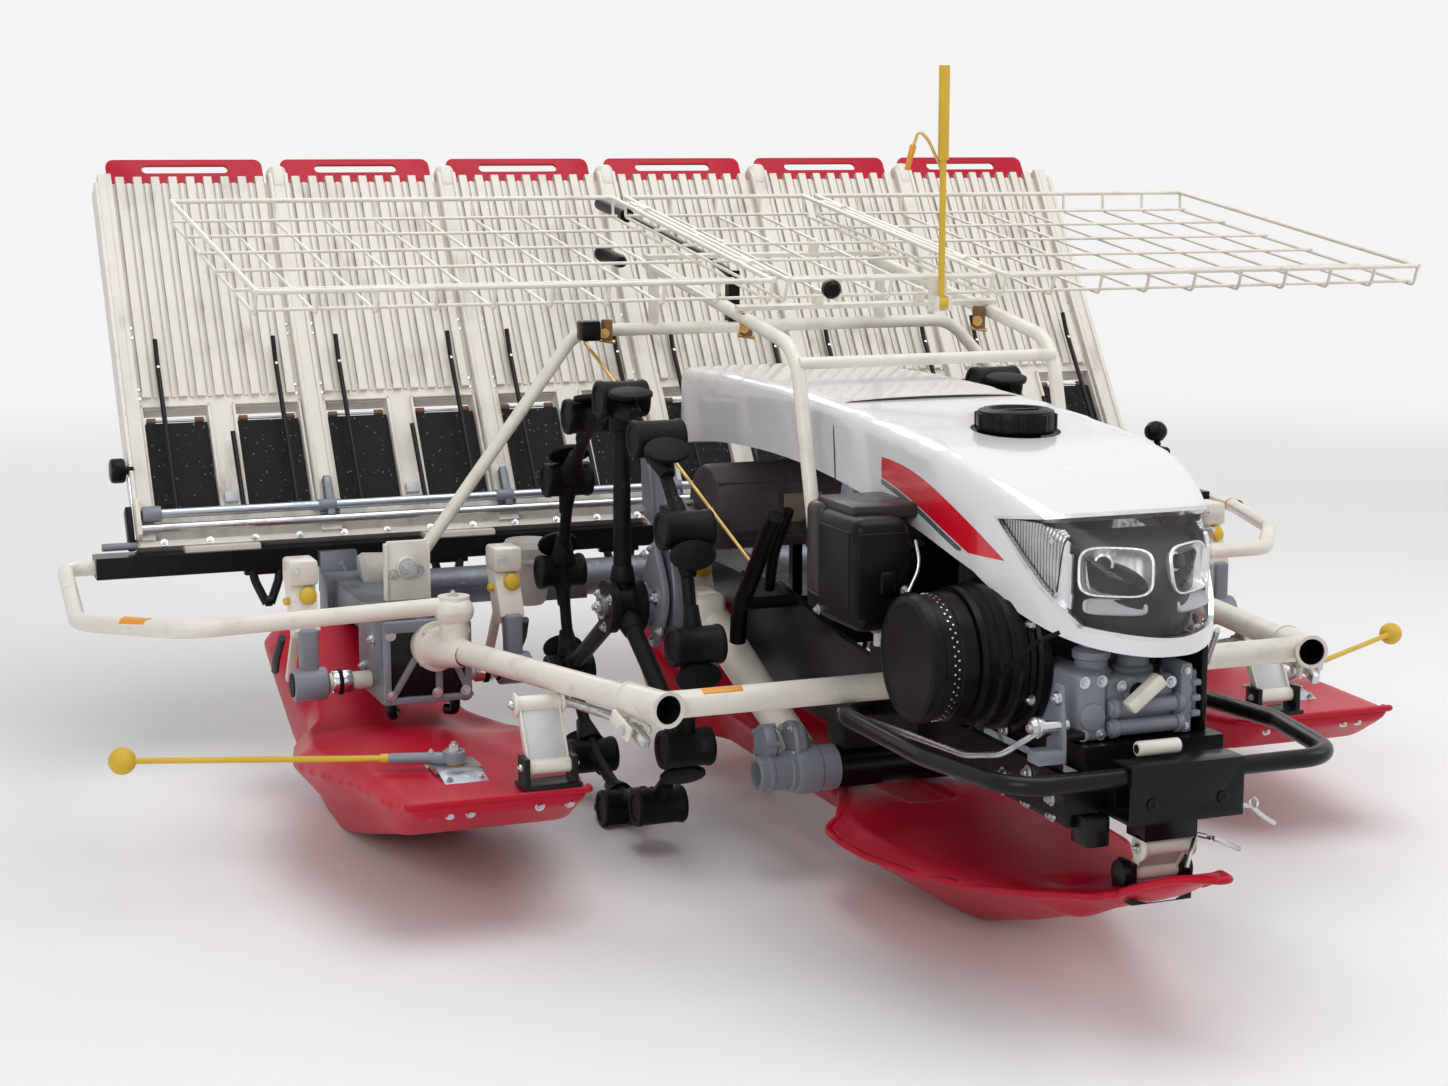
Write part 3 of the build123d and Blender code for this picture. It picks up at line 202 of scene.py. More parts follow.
class Finish(Nodes):
    """One procedural material, with its coordinates and its shader."""

    def __init__(self, name):
        self.material = bpy.data.materials.new(name)
        self.material.use_nodes = True
        super().__init__(self.material.node_tree)
        self.shader = self.node("ShaderNodeBsdfPrincipled")
        self.output = self.node("ShaderNodeOutputMaterial", inputs={"Surface": self.shader.outputs["BSDF"]})
        self.place = self.node("ShaderNodeTexCoord").outputs["Object"]
        parts = self.node("ShaderNodeSeparateXYZ", inputs={"Vector": self.place})
        self.x, self.y, self.z = (Value(self.tree, parts.outputs[axis]) for axis in "XYZ")

    def mapped(self, stretch, turn=(0, 0, 0)):
        """The piece's own coordinates, turned and then stretched."""
        turned = self.node("ShaderNodeMapping", inputs={"Vector": self.place, "Rotation": turn})
        settings = {"operation": "MULTIPLY"}
        return self.node("ShaderNodeVectorMath", settings, {0: turned.outputs[0], 1: stretch}).outputs[0]

    def noise(self, scale, detail=4.0, stretch=None, turn=(0, 0, 0)):
        """Soft noise from 0 to 1, stretched along an axis whose factor is small."""
        place = self.mapped(stretch, turn) if stretch else self.place
        inputs = {"Vector": place, "Scale": scale, "Detail": detail}
        return Value(self.tree, self.node("ShaderNodeTexNoise", inputs=inputs).outputs["Fac"])

    def cells(self, scale):
        """The distance to the nearest of many scattered points."""
        inputs = {"Vector": self.place, "Scale": scale}
        return Value(self.tree, self.node("ShaderNodeTexVoronoi", inputs=inputs).outputs["Distance"])

    def blend(self, mask, low, high):
        """The colour low where mask is 0 and high where it is 1."""
        settings = {"data_type": "RGBA"}
        return self.node("ShaderNodeMix", settings, {0: mask, 6: low, 7: high}).outputs[2]

    def relief(self, height, depth):
        """Raises the surface by depth metres where height is 1."""
        inputs = {"Height": height, "Distance": depth, "Strength": 1.0}
        bump = self.node("ShaderNodeBump", inputs=inputs)
        self.feed(self.shader.inputs["Normal"], bump.outputs["Normal"])

    def set(self, **sockets):
        """Sets or links the shader's sockets: base_color goes to Base Color, and so on."""
        for key, value in sockets.items():
            self.feed(self.shader.inputs[key.replace("_", " ").title().replace("Ior", "IOR")], value)
        return self


def tint(colour, factor):
    """A colour made darker or lighter by a factor."""
    return (*(channel * factor for channel in colour[:3]), 1.0)


# -------------------- finishes
IVORY = (0.8, 0.765, 0.68, 1)
COVER_WHITE = (0.8, 0.81, 0.83, 1)
CREAM = (0.77, 0.735, 0.665, 1)
CRIMSON = (0.5, 0.004, 0.026, 1)
RED = (0.72, 0.006, 0.022, 1)
BLACK = (0.0045, 0.0045, 0.005, 1)
SLATE = (0.2, 0.225, 0.26, 1)
STEEL = (0.6, 0.61, 0.62, 1)
YELLOW = (0.72, 0.47, 0.05, 1)
ORANGE = (0.8, 0.32, 0.02, 1)
RUST = (0.2, 0.085, 0.03, 1)
GRIME = (0.16, 0.12, 0.085, 1)
STRIPE_GREY = (0.1, 0.13, 0.13, 1)


def is_dark(colour):
    """Whether a colour is a black, which gets a weaker shine."""
    return colour[0] <= 0.1


def painted(name, colour, roughness, dirt, soil=GRIME):
    """Sprayed enamel: faint orange peel, uneven gloss, specks of dirt and a few chips."""
    paint = Finish(name)
    cloud = paint.noise(7.0, 5.0)
    speck = paint.noise(240.0, 3.0).ramp(0.66, 0.74) * paint.noise(14.0).ramp(0.45, 0.65)
    film = paint.noise(26.0, 6.0).ramp(0.5, 0.75)
    base = paint.blend(cloud.ramp(0.3, 0.75) * 0.5, colour, tint(colour, 0.86))
    base = paint.blend(film * dirt * 0.4, base, tint(soil, 1.6))
    base = paint.blend(speck * dirt, base, soil)
    paint.relief(paint.noise(420.0, 2.0) * 0.3 + speck, 0.0003)
    paint.set(specular_ior_level=0.2 if is_dark(colour) else 0.5)
    return paint.set(base_color=base, roughness=cloud * 0.16 + roughness)


def moulded(name, colour, roughness, dust):
    """Moulded plastic: fine grain, scuffs that catch the light and a film of dust."""
    shell = Finish(name)
    cloud = shell.noise(5.0, 4.0)
    scuff = shell.noise(60.0, 6.0, stretch=(1.0, 0.12, 0.4)).ramp(0.62, 0.8)
    grain = shell.noise(900.0, 2.0)
    pale = tuple(0.75 * channel + 0.06 for channel in colour[:3]) + (1.0,)
    base = shell.blend(cloud.ramp(0.25, 0.8) * 0.6, colour, tint(colour, 0.74))
    base = shell.blend(scuff * dust, base, pale)
    shell.relief(grain * 0.4 + scuff * 0.5, 0.00025)
    shell.set(specular_ior_level=0.13 if is_dark(colour) else 0.22)
    return shell.set(base_color=base, roughness=cloud * 0.2 + scuff * 0.12 + roughness)


def cast(name, colour, roughness):
    """Die or sand casting: pebbled skin, oil-dark hollows and bright rubbed spots."""
    metal = Finish(name)
    cloud = metal.noise(16.0, 6.0)
    pebble = metal.noise(380.0, 3.0)
    rubbed = metal.noise(70.0, 5.0).ramp(0.62, 0.78)
    base = metal.blend(cloud.ramp(0.35, 0.7), tint(colour, 0.55), colour)
    base = metal.blend(rubbed * 0.6, base, tint(colour, 1.9))
    metal.relief(pebble + rubbed * 0.6, 0.0004)
    return metal.set(base_color=base, roughness=roughness + cloud * 0.2, metallic=0.55)


def bright(name, colour, roughness, tarnish):
    """Plated or polished steel with drawn lines, smears and dull patches."""
    metal = Finish(name)
    drawn = metal.noise(260.0, 3.0, stretch=(0.06, 1.0, 1.0))
    patch = metal.noise(30.0, 5.0).ramp(0.5, 0.72)
    base = metal.blend(patch * tarnish, colour, tint(colour, 0.35))
    metal.relief(drawn, 0.00008)
    return metal.set(base_color=base, roughness=drawn * 0.12 + patch * 0.2 + roughness, metallic=1.0)


STRIPE_TOP = (-0.6014, 0.0944, 0.5156)  # y, z and radius of the circle above the side stripe
STRIPE_FOOT = (-0.4308, -0.4895, 1.0864)  # the same for the circle below it
STRIPE_REAR_Y = -0.595
STRIPE_LOW_Z = 0.5235
STRIPE_OFF = 0.09  # the stripe is on the sides only, beyond this |x|
STRIPE_LINE_Y = -0.808  # where the grey line ends in front
STRIPE_LINE = (0.0015, 0.0085)  # the line's edges, inside the lower circle
STRIPE_BLUR = 0.0007  # how soft the stripe's edges are


def inside(finish, circle, shrink=0.0):
    """1 inside a circle of the side view made smaller by shrink, and 0 outside it."""
    dy = finish.y - circle[0]
    dz = finish.z - circle[1]
    return (circle[2] - shrink - (dy * dy + dz * dz) ** 0.5).ramp(0.0, STRIPE_BLUR)


def glossy_cover():
    """Gloss white moulding with a red stripe, a grey line under it and faint smudges."""
    cover = Finish("white_cover")
    cloud = cover.noise(3.0, 4.0)
    smudge = cover.noise(34.0, 6.0, stretch=(1.0, 0.4, 1.0)).ramp(0.6, 0.82)
    base = cover.blend(cloud.ramp(0.3, 0.8) * 0.5, COVER_WHITE, tint(COVER_WHITE, 0.94))
    base = cover.blend(smudge * 0.1, base, tint(GRIME, 2.4))
    side = (cover.x.absolute() - STRIPE_OFF).ramp(0.0, 0.002)
    side = side * (STRIPE_REAR_Y - cover.y).ramp(0.0, STRIPE_BLUR)
    side = side * (cover.z - STRIPE_LOW_Z).ramp(0.0, STRIPE_BLUR)
    red = inside(cover, STRIPE_TOP) * (1.0 - inside(cover, STRIPE_FOOT))
    base = cover.blend(red * side, base, RED)
    near, far = (inside(cover, STRIPE_FOOT, shrink) for shrink in STRIPE_LINE)
    line = near * (1.0 - far) * (cover.y - STRIPE_LINE_Y).ramp(0.0, STRIPE_BLUR)
    base = cover.blend(line * side, base, STRIPE_GREY)
    cover.relief(cover.noise(12.0, 2.0) * 0.5 + smudge * 0.1, 0.0004)
    cover.set(base_color=base, roughness=cloud * 0.08 + smudge * 0.2 + 0.16)
    return cover.set(coat_weight=0.6, coat_roughness=0.05)


def platform_cream():
    """Sun-greyed cream moulding with grime washed down its slope, and painted shade in dark lines along the
    edges of its ribs, deeper where the grime streaks run.
    """
    sheet = Finish("platform_cream")
    slope = (radians(SLOPE), 0, 0)
    streak = sheet.noise(55.0, 6.0, stretch=(1.0, 0.05, 0.3), turn=slope).ramp(0.45, 0.75)
    stain = sheet.noise(9.0, 6.0).ramp(0.48, 0.72)
    low = (0.66 - sheet.z).ramp(0.0, 0.3)
    base = sheet.blend(stain * 0.5, CREAM, tint(CREAM, 0.84))
    base = sheet.blend(streak * (stain * 0.5 + low * 0.3), base, (0.3, 0.25, 0.19, 1))
    base = sheet.blend(sheet.noise(200.0).ramp(0.7, 0.8) * 0.5, base, GRIME)
    across = (sheet.x + 10 * ROW) % ROW
    wave = ((across - DIVIDER_HALF) * (2 * pi / RIB_PITCH) + pi / 2).sine()
    # painted shade: dark lines along both edges of every rib, where the creases between the ribs fall in
    # shade
    rib_painted_shade = 1.0 - (wave + 0.083).absolute().ramp(0.03, 0.16)
    rib_painted_shade = rib_painted_shade * (sheet.z - PLATFORM_FOOT_Z).ramp(0.0, 0.01)
    # lays the painted shade of the ribs on, deepened where the grime streaks run
    base = sheet.blend(rib_painted_shade * (streak * 0.5 + 0.35), base, (0.25, 0.21, 0.165, 1))
    sheet.relief(streak * 0.4 + sheet.noise(500.0), 0.0003)
    return sheet.set(base_color=base, roughness=stain * 0.2 + 0.42)


def speckled_belt():
    """Smooth black feed belt with pale chaff caught in its grain."""
    belt = Finish("belt_black")
    chaff = 1.0 - belt.cells(150.0).ramp(0.12, 0.18)
    chaff = chaff * belt.noise(70.0).ramp(0.5, 0.56)
    cloud = belt.noise(60.0, 5.0).ramp(0.4, 0.6)
    base = belt.blend(cloud, (0.004, 0.004, 0.005, 1), (0.012, 0.012, 0.013, 1))
    base = belt.blend(chaff, base, (0.36, 0.37, 0.37, 1))
    belt.relief(cloud * 0.2 + belt.noise(700.0), 0.0004)
    return belt.set(base_color=base, roughness=cloud * 0.15 + 0.45, specular_ior_level=0.12)


def reflector():
    """Metallised headlight bowl with fine flutes."""
    bowl = Finish("reflector")
    flute = (bowl.x * 900.0).sine() * 0.5 + 0.5
    haze = bowl.noise(40.0, 4.0)
    base = bowl.blend(haze.ramp(0.4, 0.7), (0.95, 0.95, 0.96, 1), (0.84, 0.85, 0.87, 1))
    bowl.relief(flute, 0.0006)
    return bowl.set(base_color=base, roughness=haze * 0.2 + 0.26, metallic=0.75)


def ribbed_panel():
    """Clear moulded panel with upright flutes over a bright back; its colour is banded dark and bright across
    the flutes as painted shade and painted highlights.
    """
    panel = Finish("ribbed_panel")
    flute = (panel.y * 1500.0).sine() * 0.5 + 0.5
    haze = panel.noise(60.0, 4.0)
    # painted highlights and painted shade: the colour alternates dark and bright with the flutes, standing in
    # for light on them
    base = panel.blend(flute, (0.3, 0.3, 0.31, 1), (0.7, 0.71, 0.72, 1))
    panel.relief(flute + haze * 0.1, 0.0006)
    return panel.set(base_color=base, roughness=haze * 0.1 + 0.1, metallic=0.6)


def clear_lens():
    """Clear plastic lens with faint haze."""
    lens = Finish("clear_lens")
    haze = lens.noise(22.0, 5.0)
    lens.relief(lens.noise(9.0, 2.0), 0.0004)
    lens.set(base_color=lens.blend(haze, (0.16, 0.16, 0.17, 1), (0.1, 0.1, 0.11, 1)))
    lens.set(roughness=haze * 0.05 + 0.03, alpha=haze.ramp(0.3, 0.8) * 0.04 + 0.07)
    return lens.set(coat_weight=1.0, coat_roughness=0.03)


def make_finishes():
    """All finishes, by the names that the pieces use."""
    made = {
        "white_cover": glossy_cover(), "cream_plastic": platform_cream(), "clear_lens": clear_lens(),
        "belt_black": speckled_belt(), "reflector": reflector(), "ribbed_panel": ribbed_panel(),
    }
    plain = {
        "ivory_paint": (painted, IVORY, 0.24, 0.55),
        "crimson_plastic": (moulded, CRIMSON, 0.26, 0.12),
        "black_plastic": (moulded, BLACK, 0.24, 0.25),
        "black_rubber": (moulded, tint(BLACK, 1.4), 0.5, 0.4),
        "wheel_black": (moulded, tint(BLACK, 1.7), 0.36, 0.6),
        "black_steel": (painted, tint(BLACK, 1.1), 0.2, 0.4, tint(GRIME, 0.15)),
        "grey_casting": (cast, SLATE, 0.3),
        "dark_casting": (cast, tint(SLATE, 0.32), 0.42),
        "plated_steel": (bright, STEEL, 0.22, 0.5),
        "chrome_bar": (bright, tint(STEEL, 1.15), 0.1, 0.25),
        "yellow_plastic": (moulded, YELLOW, 0.28, 0.1),
        "steel_bar": (bright, (0.46, 0.51, 0.58, 1), 0.24, 0.2),
        "muffler_grey": (painted, (0.06, 0.05, 0.052, 1), 0.42, 0.6, tint(GRIME, 0.5)),
        "pale_casting": (painted, (0.44, 0.43, 0.4, 1), 0.42, 0.7),
        "smoke_trim": (painted, (0.04, 0.037, 0.036, 1), 0.18, 0.2, tint(GRIME, 0.4)),
        "rusty_steel": (painted, RUST, 0.55, 0.9),
        "orange_sticker": (painted, ORANGE, 0.35, 0.5),
        "pale_label": (painted, (0.62, 0.64, 0.66, 1), 0.35, 0.4),
        "brass_rod": (bright, (0.68, 0.46, 0.16, 1), 0.24, 0.4),
        "brown_plate": (painted, (0.17, 0.125, 0.09, 1), 0.45, 0.9),
        "slate_paint": (painted, tint(SLATE, 1.1), 0.32, 0.4),
    }
    made.update({name: maker(name, *looks) for name, (maker, *looks) in plain.items()})
    return {name: finish.material for name, finish in made.items()}


# -------------------- modelling tools
FINISHES = {}  # every finish by its name, once they are made
SLOTS = {material["slot"] for material in frame["record"]["materials"]}
SLOT_OF = {  # the recorded material that each of the other finishes stands for
    "reflector": "chrome_bar", "smoke_trim": "black_plastic", "rusty_steel": "plated_steel",
    "orange_sticker": "yellow_plastic", "pale_label": "cream_plastic", "brass_rod": "plated_steel",
    "brown_plate": "dark_casting", "slate_paint": "grey_casting", "ribbed_panel": "clear_lens",
    "steel_bar": "chrome_bar", "muffler_grey": "dark_casting", "pale_casting": "grey_casting",
}


def placed(origin, direction, up=(0, 0, 1)):
    """A matrix that puts local Z along direction at origin."""
    z = Vector(direction).normalized()
    ref = Vector(up)
    if abs(z.dot(ref.normalized())) > 0.98:
        ref = Vector((1, 0, 0))
    x = ref.cross(z).normalized()
    matrix = Matrix((x, z.cross(x), z)).transposed().to_4x4()
    matrix.translation = Vector(origin)
    return matrix


def side_view(x):
    """A matrix that stands a flat (y, z) outline up at x, facing +X."""
    return Matrix(((0, 0, 1, x), (1, 0, 0, 0), (0, 1, 0, 0), (0, 0, 0, 1)))


def ring_angles(count, start=0.0):
    """Angles that share a full turn, in radians."""
    return [start + 2 * pi * k / count for k in range(count)]


def circle(middle, radius, angles):
    """Points at those angles on a circle round a flat point."""
    return [(middle[0] + radius * cos(a), middle[1] + radius * sin(a)) for a in angles]


def softened_path(points, radius, steps=6):
    """The points with each inner corner rounded by up to radius."""
    points = [Vector(p) for p in points]
    path = [points[0]]
    for before, corner, after in zip(points, points[1:], points[2:]):
        back = before - corner
        ahead = after - corner
        reach = min(radius, back.length * 0.48, ahead.length * 0.48)
        start = corner + back.normalized() * reach
        end = corner + ahead.normalized() * reach
        for k in range(steps + 1):
            t = k / steps
            path.append(start * (1 - t) ** 2 + corner * 2 * t * (1 - t) + end * t * t)
    path.append(points[-1])
    return path


def corners_of(faces):
    """The vertices of some faces, each once."""
    return list({vert for face in faces for vert in face.verts})


def only_verts(geometry):
    """The vertices among what a bmesh operator returns."""
    return [item for item in geometry if isinstance(item, bmesh.types.BMVert)]


class Form:
    """A mesh in the making: each call adds one closed shape with its finish."""

    def __init__(self, finish):
        self.bm = bmesh.new()
        self.finishes = [finish]
        self.current = 0

    def use(self, finish):
        """The finish of the shapes that follow."""
        if finish not in self.finishes:
            self.finishes.append(finish)
        self.current = self.finishes.index(finish)
        return self

    def made_since(self, before, matrix=None):
        """Gives the faces made since before the current finish, turns them outwards and places them."""
        faces = list(set(self.bm.faces) - before)
        bmesh.ops.recalc_face_normals(self.bm, faces=faces)
        for face in faces:
            face.material_index = self.current
        if matrix is not None:
            bmesh.ops.transform(self.bm, matrix=matrix, verts=corners_of(faces))
        return self

    def round_edges(self, edges, width, segments=2):
        """Rounds some edges by width."""
        bmesh.ops.bevel(
            self.bm, geom=edges, offset=width, offset_type="OFFSET", segments=segments,
            profile=0.5, affect="EDGES", clamp_overlap=True, material=-1,
        )

    def box(self, lo, hi, edge=0.0, matrix=None, segments=2):
        """A box between two corners, its edges rounded by edge."""
        before = set(self.bm.faces)
        lo, hi = Vector(lo), Vector(hi)
        scale = Matrix.Diagonal((*(max(abs(c), 1e-4) for c in hi - lo), 1.0))
        bmesh.ops.create_cube(self.bm, size=1.0, matrix=Matrix.Translation((lo + hi) / 2) @ scale)
        if edge:
            self.round_edges(list({e for f in set(self.bm.faces) - before for e in f.edges}), edge, segments)
        return self.made_since(before, matrix)

    def rod(self, start, end, radius, end_radius=None, sides=20, edge=0.0):
        """A round bar or cone between two points, its rims rounded by edge."""
        before = set(self.bm.faces)
        start, end = Vector(start), Vector(end)
        length = (end - start).length
        bmesh.ops.create_cone(
            self.bm, cap_ends=True, cap_tris=False, segments=sides, radius1=radius,
            radius2=radius if end_radius is None else end_radius, depth=length,
            matrix=placed(start, end - start) @ Matrix.Translation((0, 0, length / 2)),
        )
        if edge:
            caps = [f for f in self.bm.faces if f not in before and len(f.verts) == sides]
            self.round_edges(list({e for f in caps for e in f.edges}), edge)
        return self.made_since(before)

    def pin(self, x0, x1, at, radius, end_radius=None, sides=20, edge=0.0):
        """A round bar straight across the machine, from x0 to x1 at a (y, z) place."""
        return self.rod((x0, *at), (x1, *at), radius, end_radius, sides, edge)

    def tube(self, points, radius, sides=12, bend=0.03):
        """A bent bar along points."""
        path = softened_path(points, bend)
        before = set(self.bm.faces)
        turn = None
        ring = None
        for k, point in enumerate(path):
            ahead = path[min(k + 1, len(path) - 1)] - path[max(k - 1, 0)]
            z = ahead.normalized()
            if turn is None:
                turn = placed((0, 0, 0), z).to_3x3()
            else:
                turn = turn.col[2].rotation_difference(z).to_matrix() @ turn
            matrix = Matrix.Translation(point) @ turn.to_4x4()
            capped = k in (0, len(path) - 1)
            made = bmesh.ops.create_circle(
                self.bm, cap_ends=capped, segments=sides, radius=radius, matrix=matrix)
            verts = made["verts"]
            if ring is not None:
                for j in range(sides):
                    self.bm.faces.new((ring[j], ring[(j + 1) % sides], verts[(j + 1) % sides], verts[j]))
            ring = verts
        return self.made_since(before)

    def lathe(self, profile, origin, axis, sides=40):
        """Turns (radius, height) points about an axis."""
        before = set(self.bm.faces)
        verts = [self.bm.verts.new((r, 0.0, h)) for r, h in profile]
        edges = [self.bm.edges.new(pair) for pair in zip(verts, verts[1:])]
        bmesh.ops.spin(
            self.bm, geom=verts + edges, cent=(0, 0, 0), axis=(0, 0, 1), dvec=(0, 0, 0),
            angle=2 * pi, steps=sides, use_merge=True, use_duplicate=False,
        )
        bmesh.ops.remove_doubles(self.bm, verts=corners_of(set(self.bm.faces) - before), dist=1e-6)
        return self.made_since(before, placed(origin, axis))

    def plate(self, outline, thick, matrix, edge=0.0):
        """A flat outline in the matrix's own XY plane, thickened along its Z."""
        before = set(self.bm.faces)
        face = self.bm.faces.new([self.bm.verts.new((x, y, 0.0)) for x, y in outline])
        pulled = bmesh.ops.extrude_face_region(self.bm, geom=[face])
        bmesh.ops.translate(self.bm, verts=only_verts(pulled["geom"]), vec=(0, 0, thick))
        if edge:
            edges = {e for f in set(self.bm.faces) - before for e in f.edges}
            self.round_edges([e for e in edges if abs(e.verts[0].co.z - e.verts[1].co.z) < 1e-7], edge)
        return self.made_since(before, matrix)

    def bowl(self, matrix, half_x, half_y, rings):
        """A dish with a rounded-square rim, joined up from (share of its half sizes, height) rings."""
        before = set(self.bm.faces)
        rim = None
        for share, height in rings:
            made = bmesh.ops.create_circle(self.bm, segments=40, radius=1.0)["verts"]
            for vert in made:
                x, y, _ = vert.co
                vert.co.x = (abs(x) ** 0.5) * (1 if x > 0 else -1) * half_x * share
                vert.co.y = (abs(y) ** 0.5) * (1 if y > 0 else -1) * half_y * share
                vert.co.z = height
            ring = list({e for v in made for e in v.link_edges})
            if rim is not None:
                bmesh.ops.bridge_loops(self.bm, edges=rim + ring)
            rim = ring
        bmesh.ops.edgeloop_fill(self.bm, edges=rim)
        return self.made_since(before, matrix)

    def bolt(self, at, direction, size=0.008):
        """A hexagon head on a washer; size is the head's radius."""
        at = Vector(at)
        out = Vector(direction).normalized()
        self.rod(at, at + out * size * 0.25, size * 1.45, sides=14)
        self.rod(at + out * size * 0.2, at + out * size * 1.0, size, size * 0.94, sides=6)
        self.rod(at + out * size * 0.9, at + out * size * 1.5, size * 0.5, sides=8)
        return self

    def mirrored(self):
        """Adds the mirror image of everything so far on the other side of the machine."""
        geom = self.bm.verts[:] + self.bm.edges[:] + self.bm.faces[:]
        copy = bmesh.ops.duplicate(self.bm, geom=geom)["geom"]
        faces = [f for f in copy if isinstance(f, bmesh.types.BMFace)]
        bmesh.ops.scale(self.bm, vec=(-1, 1, 1), verts=only_verts(copy))
        bmesh.ops.reverse_faces(self.bm, faces=faces)
        return self

    def mesh(self, name):
        """The shapes as a mesh, which ends the form."""
        mesh = bpy.data.meshes.new(name)
        self.bm.to_mesh(mesh)
        self.bm.free()
        for finish in self.finishes:
            mesh.materials.append(FINISHES[finish])
        return mesh

    def finish(self, name, body="chassis", slot=None, replaces=(), crisp=34.0):
        """Turns the shapes into one piece that rides on a body."""
        return keep(name, self.mesh(name), body, slot or self.finishes[0], replaces, crisp)


def keep(name, mesh, body, slot, replaces=(), crisp=34.0):
    """Links a finished mesh into the scene as a piece of the machine, smooth up to crisp degrees."""
    for polygon in mesh.polygons:
        polygon.use_smooth = True
    mesh.set_sharp_from_angle(angle=radians(crisp))
    piece = linked(name, mesh)
    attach(piece, body)
    slot if slot in SLOTS else SLOT_OF[slot]
    if replaces:
        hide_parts(*replaces)
    return piece


def linked(name, data):
    """A new object in the scene, round its data."""
    thing = bpy.data.objects.new(name, data)
    bpy.context.scene.collection.objects.link(thing)
    return thing


def modified(mesh, *modifiers):
    """A new mesh: the old one with modifiers applied, each a type and its settings."""
    helper = linked("helper", mesh)
    for kind, values in modifiers:
        modifier = helper.modifiers.new(kind, kind)
        for key, value in values.items():
            setattr(modifier, key, value)
    bpy.context.view_layer.update()
    graph = bpy.context.evaluated_depsgraph_get()
    result = bpy.data.meshes.new_from_object(helper.evaluated_get(graph))
    bpy.data.objects.remove(helper)
    return result


def all_in(finish, mesh):
    """The mesh with one finish on all of its faces."""
    mesh.materials.clear()
    mesh.materials.append(FINISHES[finish])
    for polygon in mesh.polygons:
        polygon.material_index = 0
    return mesh


def merged_copy(node):
    """A welded copy of a CAD node's mesh with its flat faces joined up."""
    bm = bmesh.new()
    bm.from_mesh(frame["nodes"][node].data)
    bmesh.ops.remove_doubles(bm, verts=bm.verts, dist=2e-6)
    bmesh.ops.dissolve_limit(bm, angle_limit=radians(2.0), verts=bm.verts, edges=bm.edges)
    mesh = bpy.data.meshes.new(node + "_copy")
    bm.to_mesh(mesh)
    bm.free()
    return mesh


def eased(node, width, finish, body="chassis"):
    """Replaces a CAD node by a copy whose sharp edges are rounded by width."""
    bevel = {"width": width, "segments": 2, "limit_method": "ANGLE", "angle_limit": radians(38.0),
             "use_clamp_overlap": True}
    mesh = all_in(finish, modified(merged_copy(node), ("BEVEL", bevel)))
    return keep(node + "_shape", mesh, body, finish, (node,))


def voxel_smooth(mesh, voxel, rounds):
    """A mesh remeshed at voxel metres and relaxed, which rounds all of its edges."""
    return modified(mesh, ("REMESH", {"mode": "VOXEL", "voxel_size": voxel}),
                    ("SMOOTH", {"factor": 0.5, "iterations": rounds}))


def boolean(mesh, cutter, operation):
    """Combines two meshes; faces that come from the cutter keep its material slot."""
    tool = linked("cutter", cutter)
    result = modified(mesh, ("BOOLEAN", {"operation": operation, "solver": "EXACT", "object": tool}))
    bpy.data.objects.remove(tool)
    return result


def prism(corners, pull, slot_index):
    """A closed block: a flat outline pulled along a vector, with all its faces in one material slot."""
    bm = bmesh.new()
    face = bm.faces.new([bm.verts.new(corner) for corner in corners])
    pulled = bmesh.ops.extrude_face_region(bm, geom=[face])
    bmesh.ops.translate(bm, verts=only_verts(pulled["geom"]), vec=pull)
    bmesh.ops.recalc_face_normals(bm, faces=bm.faces)
    for face in bm.faces:
        face.material_index = slot_index
    mesh = bpy.data.meshes.new("prism")
    bm.to_mesh(mesh)
    bm.free()
    for name in ("white_cover", "black_plastic"):
        mesh.materials.append(FINISHES[name])
    return mesh


def side_prism(outline, half, slot_index=0):
    """An outline of (y, z) points pulled out to half on both sides of X = 0."""
    return prism([(-half, y, z) for y, z in outline], (2 * half, 0, 0), slot_index)


def plan_prism(outline, low, high, slot_index=0):
    """An outline of (x, y) points pulled up from low to high."""
    return prism([(x, y, low) for x, y in outline], (0, 0, high - low), slot_index)


def arc(start, middle, end, steps):
    """Points on the circle through three (a, b) points, without the last one."""
    (ax, ay), (bx, by), (cx, cy) = start, middle, end
    d = 2 * (ax * (by - cy) + bx * (cy - ay) + cx * (ay - by))
    ux = ((ax**2 + ay**2) * (by - cy) + (bx**2 + by**2) * (cy - ay) + (cx**2 + cy**2) * (ay - by)) / d
    uy = ((ax**2 + ay**2) * (cx - bx) + (bx**2 + by**2) * (ax - cx) + (cx**2 + cy**2) * (bx - ax)) / d
    centre = Vector((ux, uy))
    first, half_way, last = (Vector(point) - centre for point in (start, middle, end))
    sweep = first.angle_signed(half_way) + half_way.angle_signed(last)
    return [tuple(centre + Matrix.Rotation(-sweep * k / steps, 2) @ first) for k in range(steps)]


def only_slot(mesh, keep_index):
    """Deletes every face that isn't in one material slot."""
    bm = bmesh.new()
    bm.from_mesh(mesh)
    bmesh.ops.delete(bm, geom=[f for f in bm.faces if f.material_index != keep_index], context="FACES")
    bm.to_mesh(mesh)
    bm.free()
    return mesh


def thickened(mesh, thick, finish):
    """An open skin given a wall on its inner side, all in one finish."""
    return all_in(finish, modified(mesh, ("SOLIDIFY", {"thickness": thick, "offset": -1.0})))


def on_slope(x, s, n=0.0):
    """A point s down the platform's face and n out from it."""
    turn = radians(SLOPE)
    y = TRAY_TOP[0] - s * cos(turn) - n * sin(turn)
    return Vector((x, y, TRAY_TOP[1] - s * sin(turn) + n * cos(turn)))


def slope_matrix(x, s, n=0.0):
    """Local X across the machine, local Y up the slope and local Z out of the platform's face."""
    turn = radians(SLOPE)
    axes = Matrix(((1, 0, 0), (0, cos(turn), sin(turn)), (0, -sin(turn), cos(turn)))).transposed()
    matrix = axes.to_4x4()
    matrix.translation = on_slope(x, s, n)
    return matrix


